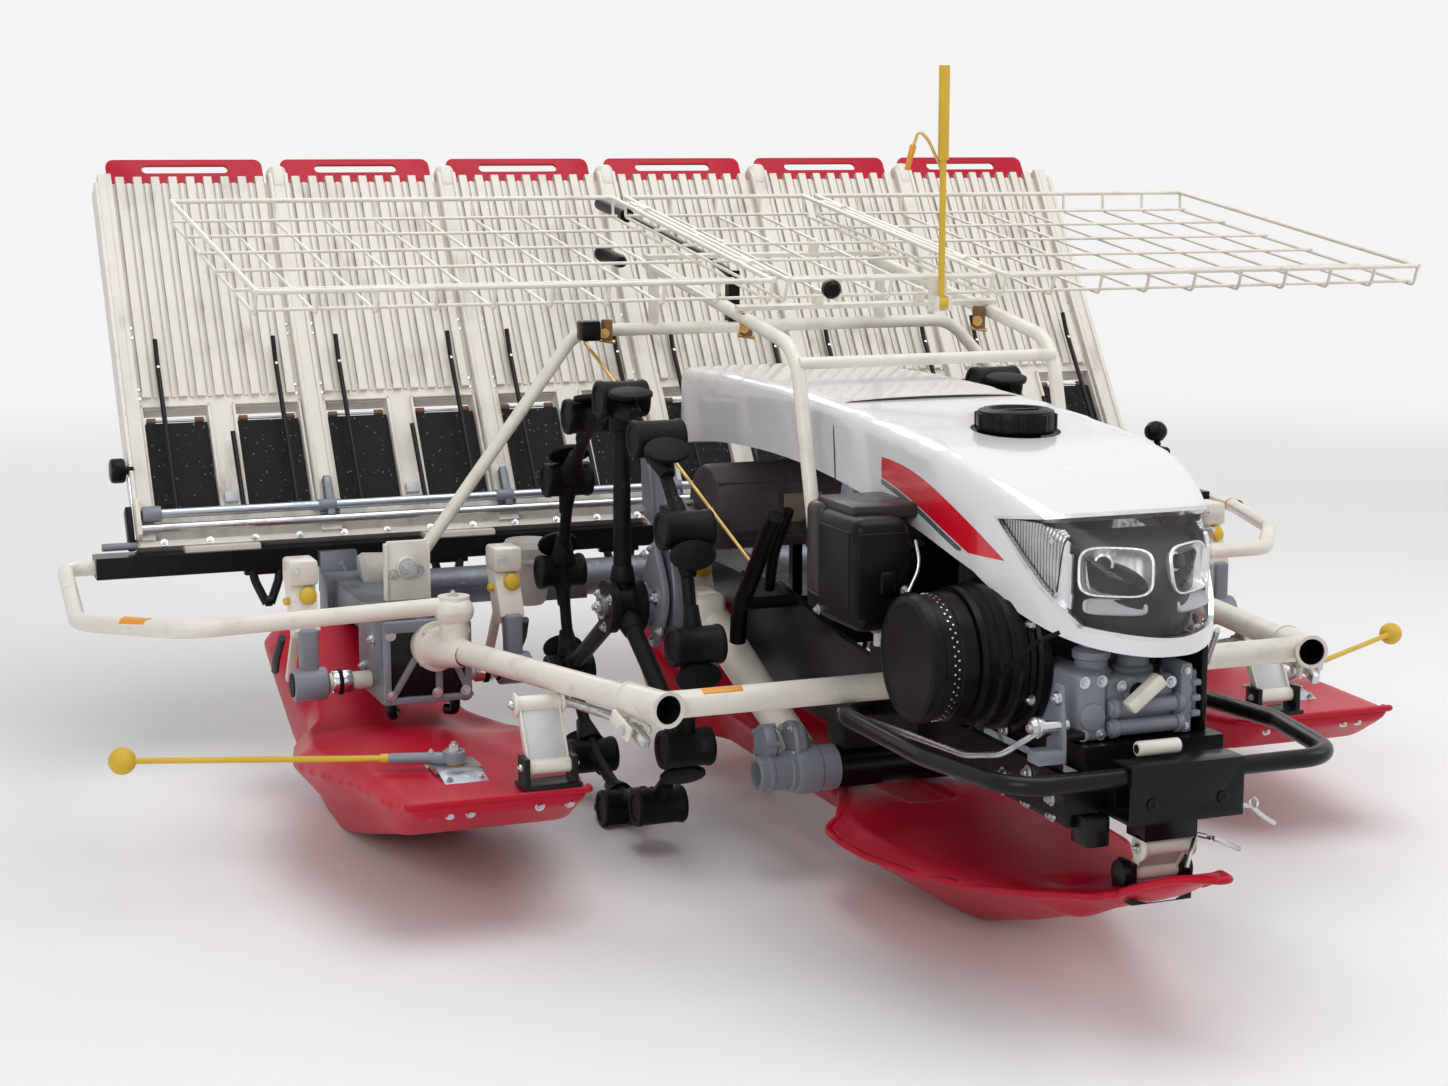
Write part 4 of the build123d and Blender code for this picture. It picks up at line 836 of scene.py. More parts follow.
# -------------------- settings
class TransplanterSettings(bpy.types.PropertyGroup):
    """Sizes and colours that a user would change."""

    cover_wall: bpy.props.FloatProperty(
        name="Hood wall", description="Thickness of the hood's moulding",
        default=0.0035, min=0.001, max=0.006, unit="LENGTH")
    float_round: bpy.props.IntProperty(
        name="Float rounding", description="Rounds of smoothing that soften the floats' edges",
        default=22, min=1, max=60)
    backdrop: bpy.props.FloatVectorProperty(
        name="Backdrop", description="Colour of the floor and the background",
        default=(0.905, 0.905, 0.905), size=3, min=0.0, max=1.0, subtype="COLOR")
    light: bpy.props.FloatProperty(
        name="Light", description="Strength of the studio lamps", default=1.0, min=0.1, max=4.0)


def settings():
    """The values that the sidebar shows."""
    return bpy.context.scene.transplanter


class MakeFinishes(bpy.types.Operator):
    """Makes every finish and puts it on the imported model's nodes"""

    bl_idname = "transplanter.finishes"
    bl_label = "Finishes"

    def execute(self, context):
        wanted = {name: [slot.material.name.split(".")[0] for slot in node.material_slots]
                  for name, node in frame["nodes"].items()}
        FINISHES.update(make_finishes())
        wanted["nose_upright"] = wanted["hood_stay"] = ["black_steel"]
        for name, node in frame["nodes"].items():
            for slot, finish in zip(node.material_slots, wanted[name]):
                slot.material = FINISHES[finish]
        return {"FINISHED"}


# -------------------- hood and headlight
HOOD_TOP = [  # (y, z) along the middle of the hood, from its rear to its lip
    *arc((HOOD_REAR_Y, 0.656), (-0.3, 0.664), (-0.7, 0.642), 12),
    *arc((-0.7, 0.642), (-0.906, 0.596), (-1.036, 0.52), 12),
    *arc((-1.036, 0.52), (-1.052, 0.47), (-1.042, 0.434), 6),
    (-1.042, 0.434),
]
HOOD_FOOT = [  # (y, z) along its lower edge, from the lip to the rear
    *arc((-1.042, 0.434), (-0.965, 0.449), (-0.892, 0.474), 8),
    (-0.892, 0.474),
    *arc((-0.832, 0.504), (-0.742, 0.526), (-0.65, 0.54), 8),
    *arc((-0.65, 0.54), (-0.24, 0.572), (HOOD_REAR_Y, 0.537), 16),
    (HOOD_REAR_Y, 0.537),
]
HOOD_PLAN = [  # (x, y) round its left half, from the rear to the nose
    (0.14, HOOD_REAR_Y), (0.15, -0.12),
    *arc((0.15, -0.74), (0.1368, -0.857), (0.098, -0.968), 8),
    *arc((0.098, -0.968), (0.0578, -1.02), (0.0, NOSE_Y), 8),
]


def hood_form():
    """The hood's closed outer form with its edges rounded over."""
    profile = side_prism([*HOOD_TOP, (HOOD_FOOT[0][0], 0.36), (HOOD_REAR_Y, 0.36)], 0.19)
    plan = [*HOOD_PLAN, (0.0, NOSE_Y), *[(-x, y) for x, y in reversed(HOOD_PLAN)]]
    block = boolean(profile, plan_prism(plan, 0.3, 0.72), "INTERSECT")
    return voxel_smooth(block, 0.0065, 34)


def inset_outline(outline, gap):
    """An outline pulled towards its middle by about gap."""
    middle = sum((Vector(p) for p in outline), Vector((0, 0))) / len(outline)
    return [tuple(Vector(p) + (middle - Vector(p)).normalized() * gap) for p in outline]


def lamp_skin(form, outline, depth, beyond=0.0):
    """The part of the hood's skin inside an outline and beyond |x|, sunk by depth."""
    skin = only_slot(boolean(form, side_prism(outline, 0.2, 1), "INTERSECT"), 0)
    bm = bmesh.new()
    bm.from_mesh(skin)
    bmesh.ops.remove_doubles(bm, verts=bm.verts, dist=1e-5)
    bm.normal_update()
    near = [vert for vert in bm.verts if abs(vert.co.x) < beyond]
    bmesh.ops.delete(bm, geom=near, context="VERTS")
    moved = [(vert, vert.co - vert.normal * depth) for vert in bm.verts]
    for vert, place in moved:
        vert.co = place
    bm.to_mesh(skin)
    bm.free()
    return skin


class MakeHood(bpy.types.Operator):
    """Makes the white hood, its seam and the fuel cap"""

    bl_idname = "transplanter.hood"
    bl_label = "Hood"

    def execute(self, context):
        form = hood_form()
        below = [*HOOD_FOOT, (0.3, 0.537), (0.3, 0.3), (-1.2, 0.3), (-1.2, 0.434)]
        hole = circle(CAP, 0.056, ring_angles(48))
        skin = boolean(form, side_prism(below, 0.25, 1), "DIFFERENCE")
        skin = boolean(skin, side_prism(LAMP, 0.25, 1), "DIFFERENCE")
        skin = boolean(skin, plan_prism(hole, 0.6, 0.74, 1), "DIFFERENCE")
        shell = thickened(only_slot(skin, 0), settings().cover_wall, "white_cover")
        keep("hood_shell", shell, "chassis", "white_cover", ("hood",), 40.0)
        self.seam()
        self.cap()
        return {"FINISHED"}

    def seam(self):
        """The dark line where the hood's front and rear halves meet."""
        seam = Form("smoke_trim")
        seam.tube([(-0.1493, -0.455, 0.56), (-0.1495, -0.452, 0.6), (-0.149, -0.447, 0.632),
                   (-0.144, -0.44, 0.651), (-0.125, -0.43, 0.659), (-0.06, -0.424, 0.6612),
                   (0.0, -0.422, 0.6614)], 0.0019, 8)
        seam.mirrored()
        seam.finish("hood_seam")

    def cap(self):
        """The lobed fuel cap, its bar and the collar of the filler."""
        cap = Form("black_plastic")
        cap.lathe(mm_pairs((0, 0), (47, 0), (49, 3), (49, 22), (47, 27.5), (41, 30), (34, 30), (31, 26),
                           (0, 25.5)), (*CAP, CAP_Z), UP, 56)
        for x, y in circle(CAP, 0.0462, ring_angles(10)):
            cap.rod((x, y, CAP_Z + 0.0035), (x, y, CAP_Z + 0.025), 0.0055, sides=12, edge=0.002)
        cap.box((-0.03, CAP[1] - 0.0035, CAP_Z + 0.0255), (0.03, CAP[1] + 0.0035, CAP_Z + 0.0288), 0.001)
        cap.finish("fuel_cap_lobed", replaces=("fuel_cap",))
        neck = Form("black_plastic")
        neck.lathe(mm_pairs((31, 0), (60, 0), (61, 5), (34, 12), (31, 30)), (*CAP, CAP_Z - 0.03), UP)
        neck.finish("filler_collar")


class MakeHeadlight(bpy.types.Operator):
    """Makes the wrap-round headlight: lens, bezel, bucket and reflectors"""

    bl_idname = "transplanter.headlight"
    bl_label = "Headlight"

    def execute(self, context):
        form = hood_form()
        lens = thickened(lamp_skin(form, inset_outline(LAMP, 0.003), 0.0006), 0.002, "clear_lens")
        keep("headlight_lens", lens, "chassis", "clear_lens", ("headlight",), 50.0)
        block = boolean(form, side_prism(LAMP, 0.2, 1), "INTERSECT")
        ring = only_slot(boolean(block, side_prism(inset_outline(LAMP, 0.0065), 0.2, 1), "DIFFERENCE"), 0)
        keep("headlight_bezel", thickened(ring, 0.006, "chrome_bar"), "chassis", "chrome_bar", (), 50.0)
        bucket = thickened(lamp_skin(form, LAMP, 0.024), 0.002, "smoke_trim")
        keep("headlight_bucket", bucket, "chassis", "black_plastic")
        rear = mm_pairs((-951, 488), (-962, 575), (-872, 571), (-938, 500))
        panel = thickened(lamp_skin(form, rear, 0.009, 0.085), 0.002, "ribbed_panel")
        keep("headlight_side_panel", panel, "chassis", "chrome_bar")
        band = mm_pairs((-973, 480), (-981, 577), (-966, 577), (-955, 486))
        strip = thickened(lamp_skin(form, band, 0.006, 0.094), 0.004, "reflector")
        keep("headlight_side_band", strip, "chassis", "chrome_bar")
        self.lamps()
        return {"FINISHED"}

    def lamps(self):
        """The two dished reflectors with their bulb covers, the strips below them and the screws."""
        inner = Form("reflector")
        for side in (-1, 1):
            out = Vector((side * 0.5, -0.85, 0.16)).normalized()
            middle = Vector((side * 0.0465, -0.9935, 0.5235))
            turn = placed(middle, out)
            inner.use("reflector").bowl(turn, 0.04, 0.0265, (
                (1.0, 0.0), (1.06, 0.0), (1.06, 0.003), (0.99, 0.003), (0.96, -0.001), (0.86, -0.008),
                (0.62, -0.014), (0.3, -0.017)))
            spot = turn @ Vector((-0.014, 0.009, -0.013))
            inner.use("smoke_trim").rod(spot, spot + out * 0.014, 0.0085, sides=24, edge=0.002)
            inner.use("reflector").rod(spot, spot + out * 0.006, 0.0115, sides=24, edge=0.001)
            foot = placed(middle + Vector((0, 0, -0.04)) + out * 0.004, out + Vector((0, 0, 0.35)))
            strip = ((1.0, 0.0), (1.0, 0.004), (0.9, 0.005), (0.84, 0.002))
            inner.use("pale_label").bowl(foot, 0.036, 0.0095, strip)
            inner.use("plated_steel")
            for x, z in ((0.102, 0.556), (0.094, 0.494), (0.086, 0.486)):
                back = (side * x, -0.944 - 0.3 * (0.1 - x), z)
                inner.rod(back, (side * (x + 0.004), -0.952, z), 0.003, sides=10)
        inner.finish("headlight_reflectors")


# -------------------- engine
class MakeEngine(bpy.types.Operator):
    """Makes the engine's fins and castings, its fuel tank, recoil starter, air cleaner and muffler"""

    bl_idname = "transplanter.engine"
    bl_label = "Engine"

    def execute(self, context):
        self.starter(*STARTER)
        self.block()
        self.cleaner()
        self.exhaust()
        return {"FINISHED"}

    def starter(self, y, z):
        """The recoil drum with its two rows of bright dots, and the turned shroud of the fan behind it."""
        drum = Form("black_plastic")
        drum.lathe(mm_pairs((0, 0), (74, 0), (75.5, 2), (75.5, 20), (73.5, 22), (73.5, 42), (75.5, 44),
                            (75.5, 52), (73, 57), (67, 59), (65, 57), (60, 56.5), (22, 57), (0, 58)),
                   (-0.172, y, z), RIGHT, 72)
        drum.use("plated_steel")
        for row, x in ((0, -0.199), (1, -0.204)):
            angles = ring_angles(44, row * pi / 44)
            for foot, tip in zip(circle((y, z), 0.0737, angles), circle((y, z), 0.0746, angles)):
                drum.rod((x, *foot), (x, *tip), 0.0013, sides=6)
        drum.finish("recoil_drum", replaces=("recoil_starter",))
        shroud = Form("black_plastic")
        shroud.lathe(mm_pairs((0, 0), (97, 0), (98, 3), (98, 12), (95, 16), (89, 17), (87, 22), (90, 26),
                              (90, 34), (86, 37), (84, 44), (86, 48), (85, 56), (80, 59), (79, 68), (81, 72),
                              (80, 79.5), (0, 79.5)), (-0.092, y, z), RIGHT, 72)
        shroud.use("plated_steel")
        for spot in circle((y, z), 0.0915, (0.35, 1.75, 2.6, 3.6, 4.5, 5.5)):
            shroud.bolt((-0.11, *spot), RIGHT, 0.0058)
        shroud.finish("fan_shroud_turned", replaces=("fan_shroud",))

    def block(self):
        """The finned block, the castings behind it and the fuel tank under the hood."""
        body = Form("dark_casting")
        body.box((-0.092, -0.86, 0.33), (0.092, -0.56, 0.52), 0.008)
        for k in range(9):
            body.box((-0.096, -0.73 + k * 0.018, 0.345), (0.096, -0.722 + k * 0.018, 0.505), 0.002)
        body.box((-0.11, -0.8, 0.34), (-0.088, -0.6, 0.4), 0.006)
        body.use("plated_steel")
        for y, z in ((-0.625, 0.37), (-0.6, 0.42), (-0.6, 0.36), (-0.7, 0.35), (-0.585, 0.48)):
            body.bolt((-0.096, y, z), RIGHT, 0.006)
            body.bolt((0.096, y, z), LEFT, 0.006)
        body.use("slate_paint").pin(0.092, 0.126, (-0.7, 0.4), 0.052, sides=36, edge=0.005)
        body.use("black_plastic").pin(0.126, 0.134, (-0.7, 0.4), 0.044, sides=36, edge=0.003)
        body.use("slate_paint")
        body.pin(-0.15, -0.08, (-0.49, 0.548), 0.02, sides=28, edge=0.003)
        body.pin(-0.145, -0.11, (-0.56, 0.4), 0.022, sides=28, edge=0.003)
        body.box((-0.135, -0.6, 0.47), (-0.09, -0.545, 0.525), 0.008)
        body.pin(-0.15, -0.09, (-0.56, 0.505), 0.02, sides=28, edge=0.003)
        body.use("plated_steel").bolt((-0.145, -0.56, 0.4), RIGHT, 0.007)
        body.bolt((-0.15, -0.56, 0.505), RIGHT, 0.006)
        body.finish("engine_fins", replaces=("engine_block",))
        tank = Form("black_plastic")
        tank.box((-0.088, -0.77, 0.52), (0.088, -0.57, 0.618), 0.016, segments=3)
        tank.box((-0.09, -0.772, 0.56), (0.09, -0.568, 0.566), 0.002)
        tank.rod((*CAP, 0.61), (*CAP, CAP_Z), 0.031, sides=32)
        tank.finish("fuel_tank_moulding", replaces=("fuel_tank",))

    def cleaner(self):
        """The air cleaner's ribbed box, its duct, wire clip and screws."""
        box = Form("black_plastic")
        box.box((-0.252, -0.745, 0.419), (-0.178, -0.622, 0.556), 0.017, segments=4)
        box.box((-0.249, -0.7465, 0.438), (-0.181, -0.7435, 0.54), 0.01, segments=3)
        box.box((-0.222, -0.7515, 0.466), (-0.2, -0.7435, 0.494), 0.004, segments=3)
        box.box((-0.2535, -0.728, 0.436), (-0.2505, -0.64, 0.54), 0.008, segments=3)
        box.box((-0.182, -0.7, 0.45), (-0.092, -0.64, 0.51), 0.008)
        box.use("smoke_trim")
        box.box((-0.246, -0.622, 0.44), (-0.12, -0.576, 0.56), 0.012, segments=3)
        box.box((-0.236, -0.7, 0.548), (-0.118, -0.59, 0.566), 0.005)
        box.use("plated_steel").bolt((-0.25, -0.632, 0.43), RIGHT, 0.0045)
        box.tube([(-0.176, -0.748, 0.53), (-0.172, -0.755, 0.5), (-0.19, -0.76, 0.47)], 0.0022, 8)
        box.bolt((-0.19, -0.752, 0.47), FRONT, 0.005)
        box.finish("air_cleaner_box", replaces=("air_cleaner",))

    def exhaust(self):
        """The muffler's drum with its rolled seams, guard wires, blank plate and stay."""
        y, z = MUFFLER
        can = Form("muffler_grey")
        can.lathe(mm_pairs((0, 0), (50, 0), (59, 5), (62, 12), (62, 108), (60, 112), (60, 116), (62, 120),
                           (62, 321), (59, 328), (50, 333), (0, 333)), (-0.205, y, z), LEFT, 64)
        can.box((-0.186, -0.174, 0.452), (-0.112, -0.17, 0.508), 0.0015)
        for rise in (-0.04, 0.04):
            can.pin(-0.198, 0.118, (y - 0.0475, z + rise), 0.0024, sides=8)
        can.use("brown_plate").box((-0.1045, -0.1755, 0.462), (-0.046, -0.1715, 0.503), 0.0012)
        can.use("dark_casting").box((-0.03, -0.138, 0.3), (0.03, -0.082, 0.45), 0.004)
        can.rod((-0.06, -0.16, 0.46), (-0.08, -0.23, 0.44), 0.014)
        can.use("plated_steel")
        for off in (-0.042, 0.042):
            can.bolt((-0.204, y + off, z), RIGHT, 0.005)
        can.finish("muffler_drum", replaces=("muffler",))


# -------------------- wheels
class MakeWheels(bpy.types.Operator):
    """Makes the paddy wheels, their gear cases and the castings beside them"""

    bl_idname = "transplanter.wheels"
    bl_label = "Wheels"
    ring = 0.284                     # radius of a wheel's ring
    lugs = 12
    spokes = 3

    def execute(self, context):
        self.wheel(-1, "right")
        self.wheel(1, "left")
        self.cases()
        eased("gear_cases", 0.0025, "grey_casting")
        self.arms()
        return {"FINISHED"}

    def wheel(self, side, name):
        """One wheel: ring, hub, three spokes and twelve lugs, with the nut on its axle."""
        centre = Vector((side * AXLE[0], *AXLE[1:]))
        form = Form("wheel_black")
        loop = circle((self.ring, 0.0), 0.009, ring_angles(12))
        form.lathe([*loop, loop[0]], centre, LEFT, 72)
        hub = mm_pairs((14.3, -28), (38, -28), (39, -25), (39, -14), (30, -10), (30, 10), (39, 14), (39, 25),
                       (38, 28), (14.3, 28), (14.3, -28))
        form.lathe(hub, centre, LEFT, 44)
        for a in ring_angles(self.spokes, pi / 2):
            out = Vector((0, cos(a), sin(a)))
            form.rod(centre + out * 0.026, centre + out * 0.28, 0.0135, 0.012)
            form.rod(centre + out * 0.036, centre + out * 0.06, 0.019, 0.015, edge=0.002)
            form.rod(centre + out * 0.256, centre + out * 0.296, 0.018, edge=0.005)
        for a in ring_angles(self.lugs, pi / 2):
            self.lug(form, centre, a)
        form.use("plated_steel")
        for spot in circle(AXLE[1:], 0.03, ring_angles(self.spokes, pi / 6)):
            form.bolt((centre.x + side * 0.027, *spot), (side, 0, 0), 0.0055)
        form.finish(f"wheel_{name}_lugged", body=f"wheel_{name}", replaces=(f"wheel_{name}",))
        end = Form("plated_steel")
        face = AXLE[0] + 0.028
        end.pin(side * face, side * (face + 0.006), AXLE[1:], 0.018, sides=24)
        end.bolt((side * (face + 0.005), *AXLE[1:]), (side, 0, 0), 0.009)
        end.finish(f"wheel_nut_{name}", body=f"wheel_{name}")

    def lug(self, form, centre, a):
        """A rubber paddle: a grooved drum across the ring, a blade behind it and two webs."""
        out = Vector((0, cos(a), sin(a)))
        along = Vector((0, -sin(a), cos(a)))
        mid = centre + out * 0.302
        drum = mm_pairs((0, -34), (19, -34), (21, -36.5), (25.5, -36.5), (27, -34), (27, -29), (25.8, -27),
                        (25.8, 27), (27, 29), (27, 34), (25.5, 36.5), (21, 36.5), (19, 34), (0, 34))
        form.lathe(drum, mid, LEFT, 28)
        blade = placed(centre + out * 0.309 + along * 0.04, out * 0.96 + along * 0.28, along)
        outline = [(0.033 * cos(t), 0.021 * sin(t)) for t in ring_angles(20)]
        form.plate(outline, 0.008, blade, 0.002)
        for foot, reach, top, width, top_width in ((0.062, 0.29, 0.016, 0.0105, 0.021),
                                                   (-0.052, 0.292, -0.014, 0.01, 0.014)):
            form.rod(centre + out * self.ring + along * foot, centre + out * reach + along * top,
                     width, top_width, sides=12, edge=0.002)

    def arms(self):
        """The swing arms that carry the wheels, with the castings at their pivots."""
        arm = Form("ivory_paint")
        arm.rod((-0.184, -0.064, 0.322), (-0.15, -0.338, 0.172), 0.0275, 0.024, sides=32)
        arm.box((-0.2135, -0.112, 0.286), (-0.1645, -0.03, 0.352), 0.014, segments=3)
        arm.use("slate_paint")
        arm.lathe(mm_pairs((0, 0), (27, 0), (31, 3), (33, 10), (33, 34), (30, 38), (31, 44), (31, 62),
                           (28, 64), (0, 64)), (-0.172, *ARM_PIVOT), LEFT)
        arm.lathe(mm_pairs((0, 0), (30, 0), (32, 4), (30, 16), (22, 24), (0, 26)), (-0.172, -0.35, 0.186),
                  LEFT, 36)
        arm.use("plated_steel")
        for spot in circle((-0.35, 0.188), 0.026, (0.6, 2.1, 3.6, 5.2)):
            arm.bolt((-0.172, *spot), RIGHT, 0.0045)
        arm.mirrored()
        arm.finish("swing_arm_tubes", replaces=("swing_arms",))

    def cases(self):
        """The gear cases' covers and quadrants, and the sleeves and covers of the swing arms' pivots."""
        cover = Form("slate_paint")
        leaf = [(0.047 * sin(pi * k / 14) ** 1.1, 0.079 * (k / 7 - 1)) for k in range(1, 14)]
        oval = [(0.0, -0.079), *leaf, (0.0, 0.079), *[(-x, z) for x, z in reversed(leaf)]]
        cover.plate(oval, 0.012, Matrix.Translation((0, -0.052, 0.346)) @ side_view(-0.2615), 0.004)
        cover.pin(-0.264, -0.256, (-0.078, 0.346), 0.015, sides=28, edge=0.002)
        quadrant = mm_pairs((-52, 438), (6, 430), (70, 445), (79, 530), (46, 549), (-6, 546), (-40, 486))
        cover.plate(quadrant, 0.007, side_view(-0.232), 0.001)
        cover.tube([(-0.233, 0.05, 0.535), (-0.233, 0.03, 0.52), (-0.233, 0.018, 0.48),
                    (-0.233, 0.02, 0.445)], 0.0035, 8, 0.02)
        cover.tube([(-0.233, -0.006, 0.54), (-0.233, -0.026, 0.51), (-0.233, -0.04, 0.47),
                    (-0.233, -0.046, 0.44)], 0.0042, 8, 0.02)
        cover.box((-0.226, -0.02, 0.44), (-0.205, 0.04, 0.47), 0.004)
        cover.use("plated_steel")
        cover.bolt((-0.264, -0.078, 0.346), RIGHT, 0.0075)
        for y, z in ((-0.052, 0.414), (-0.052, 0.278), (-0.02, 0.4), (-0.088, 0.3)):
            cover.bolt((-0.261, y, z), RIGHT, 0.0052)
        cover.bolt((-0.232, 0.056, 0.452), RIGHT, 0.006)
        cover.use("black_steel")
        cover.box((-0.25, -0.16, 0.468), (-0.12, -0.052, 0.478), 0.003)
        sleeve = mm_pairs((17, 0), (21.5, 0), (23, 1.5), (23, 12), (27.5, 14), (27.5, 18), (25.5, 20),
                          (25.5, 44), (28.0, 46), (28.0, 52), (0, 52), (0, 20), (17, 20), (17, 0))
        cover.use("slate_paint").lathe(sleeve, (-0.224, *ARM_PIVOT), LEFT)
        cover.lathe(mm_pairs((0, 0), (24, 0), (26, 3), (26, 14), (20, 20), (0, 22)), (-0.212, *ARM_COVER),
                    LEFT, 36)
        for spot in circle(ARM_COVER, 0.0235, ring_angles(5, 0.5)):
            cover.pin(-0.214, -0.192, spot, 0.0045, sides=10)
        cover.use("black_rubber").pin(-0.2042, -0.2036, ARM_PIVOT, 0.0172, sides=28)
        cover.mirrored()
        cover.finish("gear_case_covers", replaces=("pivot_sleeves",))


# -------------------- floats
def soft_float(node, name, change):
    """A float with its edges rounded over and its deck shaped by change."""
    mesh = voxel_smooth(merged_copy(node), 0.0055, settings().float_round)
    for vert in mesh.vertices:
        vert.co = change(vert.co.copy())
    keep(name, all_in("crimson_plastic", mesh), "chassis", "crimson_plastic", (node,), 60.0)


def hump(value, centre, reach):
    """A smooth bump: 1 at centre and 0 beyond reach."""
    t = max(0.0, 1.0 - ((value - centre) / reach) ** 2)
    return t * t


def rim_line(node, middle, last_y):
    """The widest points of a float's own sections in front of last_y, from one side to the other."""
    sections = {}
    for vert in frame["nodes"][node].data.vertices:
        if vert.co.y < last_y and abs(vert.co.x - middle) < 0.2:
            sections.setdefault(round(vert.co.y, 4), []).append(vert.co.copy())
    rows = [sections[y] for y in sorted(sections, reverse=True) if len(sections[y]) >= 8]
    right = [min(row, key=lambda p: p.x) for row in rows]
    left = [max(row, key=lambda p: p.x) for row in reversed(rows)]
    return right + left


class MakeFloats(bpy.types.Operator):
    """Makes the three crimson floats with their rims and bolts"""

    bl_idname = "transplanter.floats"
    bl_label = "Floats"

    def execute(self, context):
        soft_float("side_floats", "side_float_hulls", self.side_shape)
        soft_float("centre_float", "centre_float_hull", self.centre_shape)
        rim = Form("crimson_plastic")
        for middle, node, last_y, inward in (
                (-FLOAT_X, "side_floats", -0.44, 0.005), (FLOAT_X, "side_floats", -0.44, 0.005),
                (0.0, "centre_float", -0.45, 0.02)):
            edge = rim_line(node, middle, last_y)
            line = [p + Vector(((middle - p.x) * inward, 0.0052, -0.001)) for p in edge]
            rim.tube(line, 0.0046, 12, 0.02)
        rim.finish("float_rims")
        bolts = Form("plated_steel")
        for x, y in ((-0.52, -0.4645), (-0.56, -0.466), (-0.65, -0.465), (-0.676, -0.463),
                     (-0.7, -0.456)):
            bolts.bolt((x, y, 0.168), (0, -1, -0.3), 0.0046)
        bolts.mirrored()
        bolts.finish("float_bolts")
        return {"FINISHED"}

    def side_shape(self, place):
        """A side float's point: its deck is raised in the middle and lowered at its inner edge."""
        off = abs(place.x) - FLOAT_X
        deck = min(1.0, max(0.0, (place.z - 0.12) / 0.04))
        rise = 0.016 * hump(off, 0.02, 0.13) * hump(place.y, -0.11, 0.2) - 0.002
        place.z += deck * (rise - 0.01 * hump(off, -0.11, 0.06) * hump(place.y, 0.02, 0.12))
        return place

    def centre_shape(self, place):
        """The centre float's point, crowned along its middle with a small dip near the nose."""
        deck = min(1.0, max(0.0, (place.z - 0.08) / 0.03))
        dip = hump(place.x, -0.035, 0.05) * hump(place.y, -0.9, 0.05)
        place.z += deck * (0.004 * hump(place.x, 0.0, 0.16) - 0.012 * dip - 0.002)
        return place


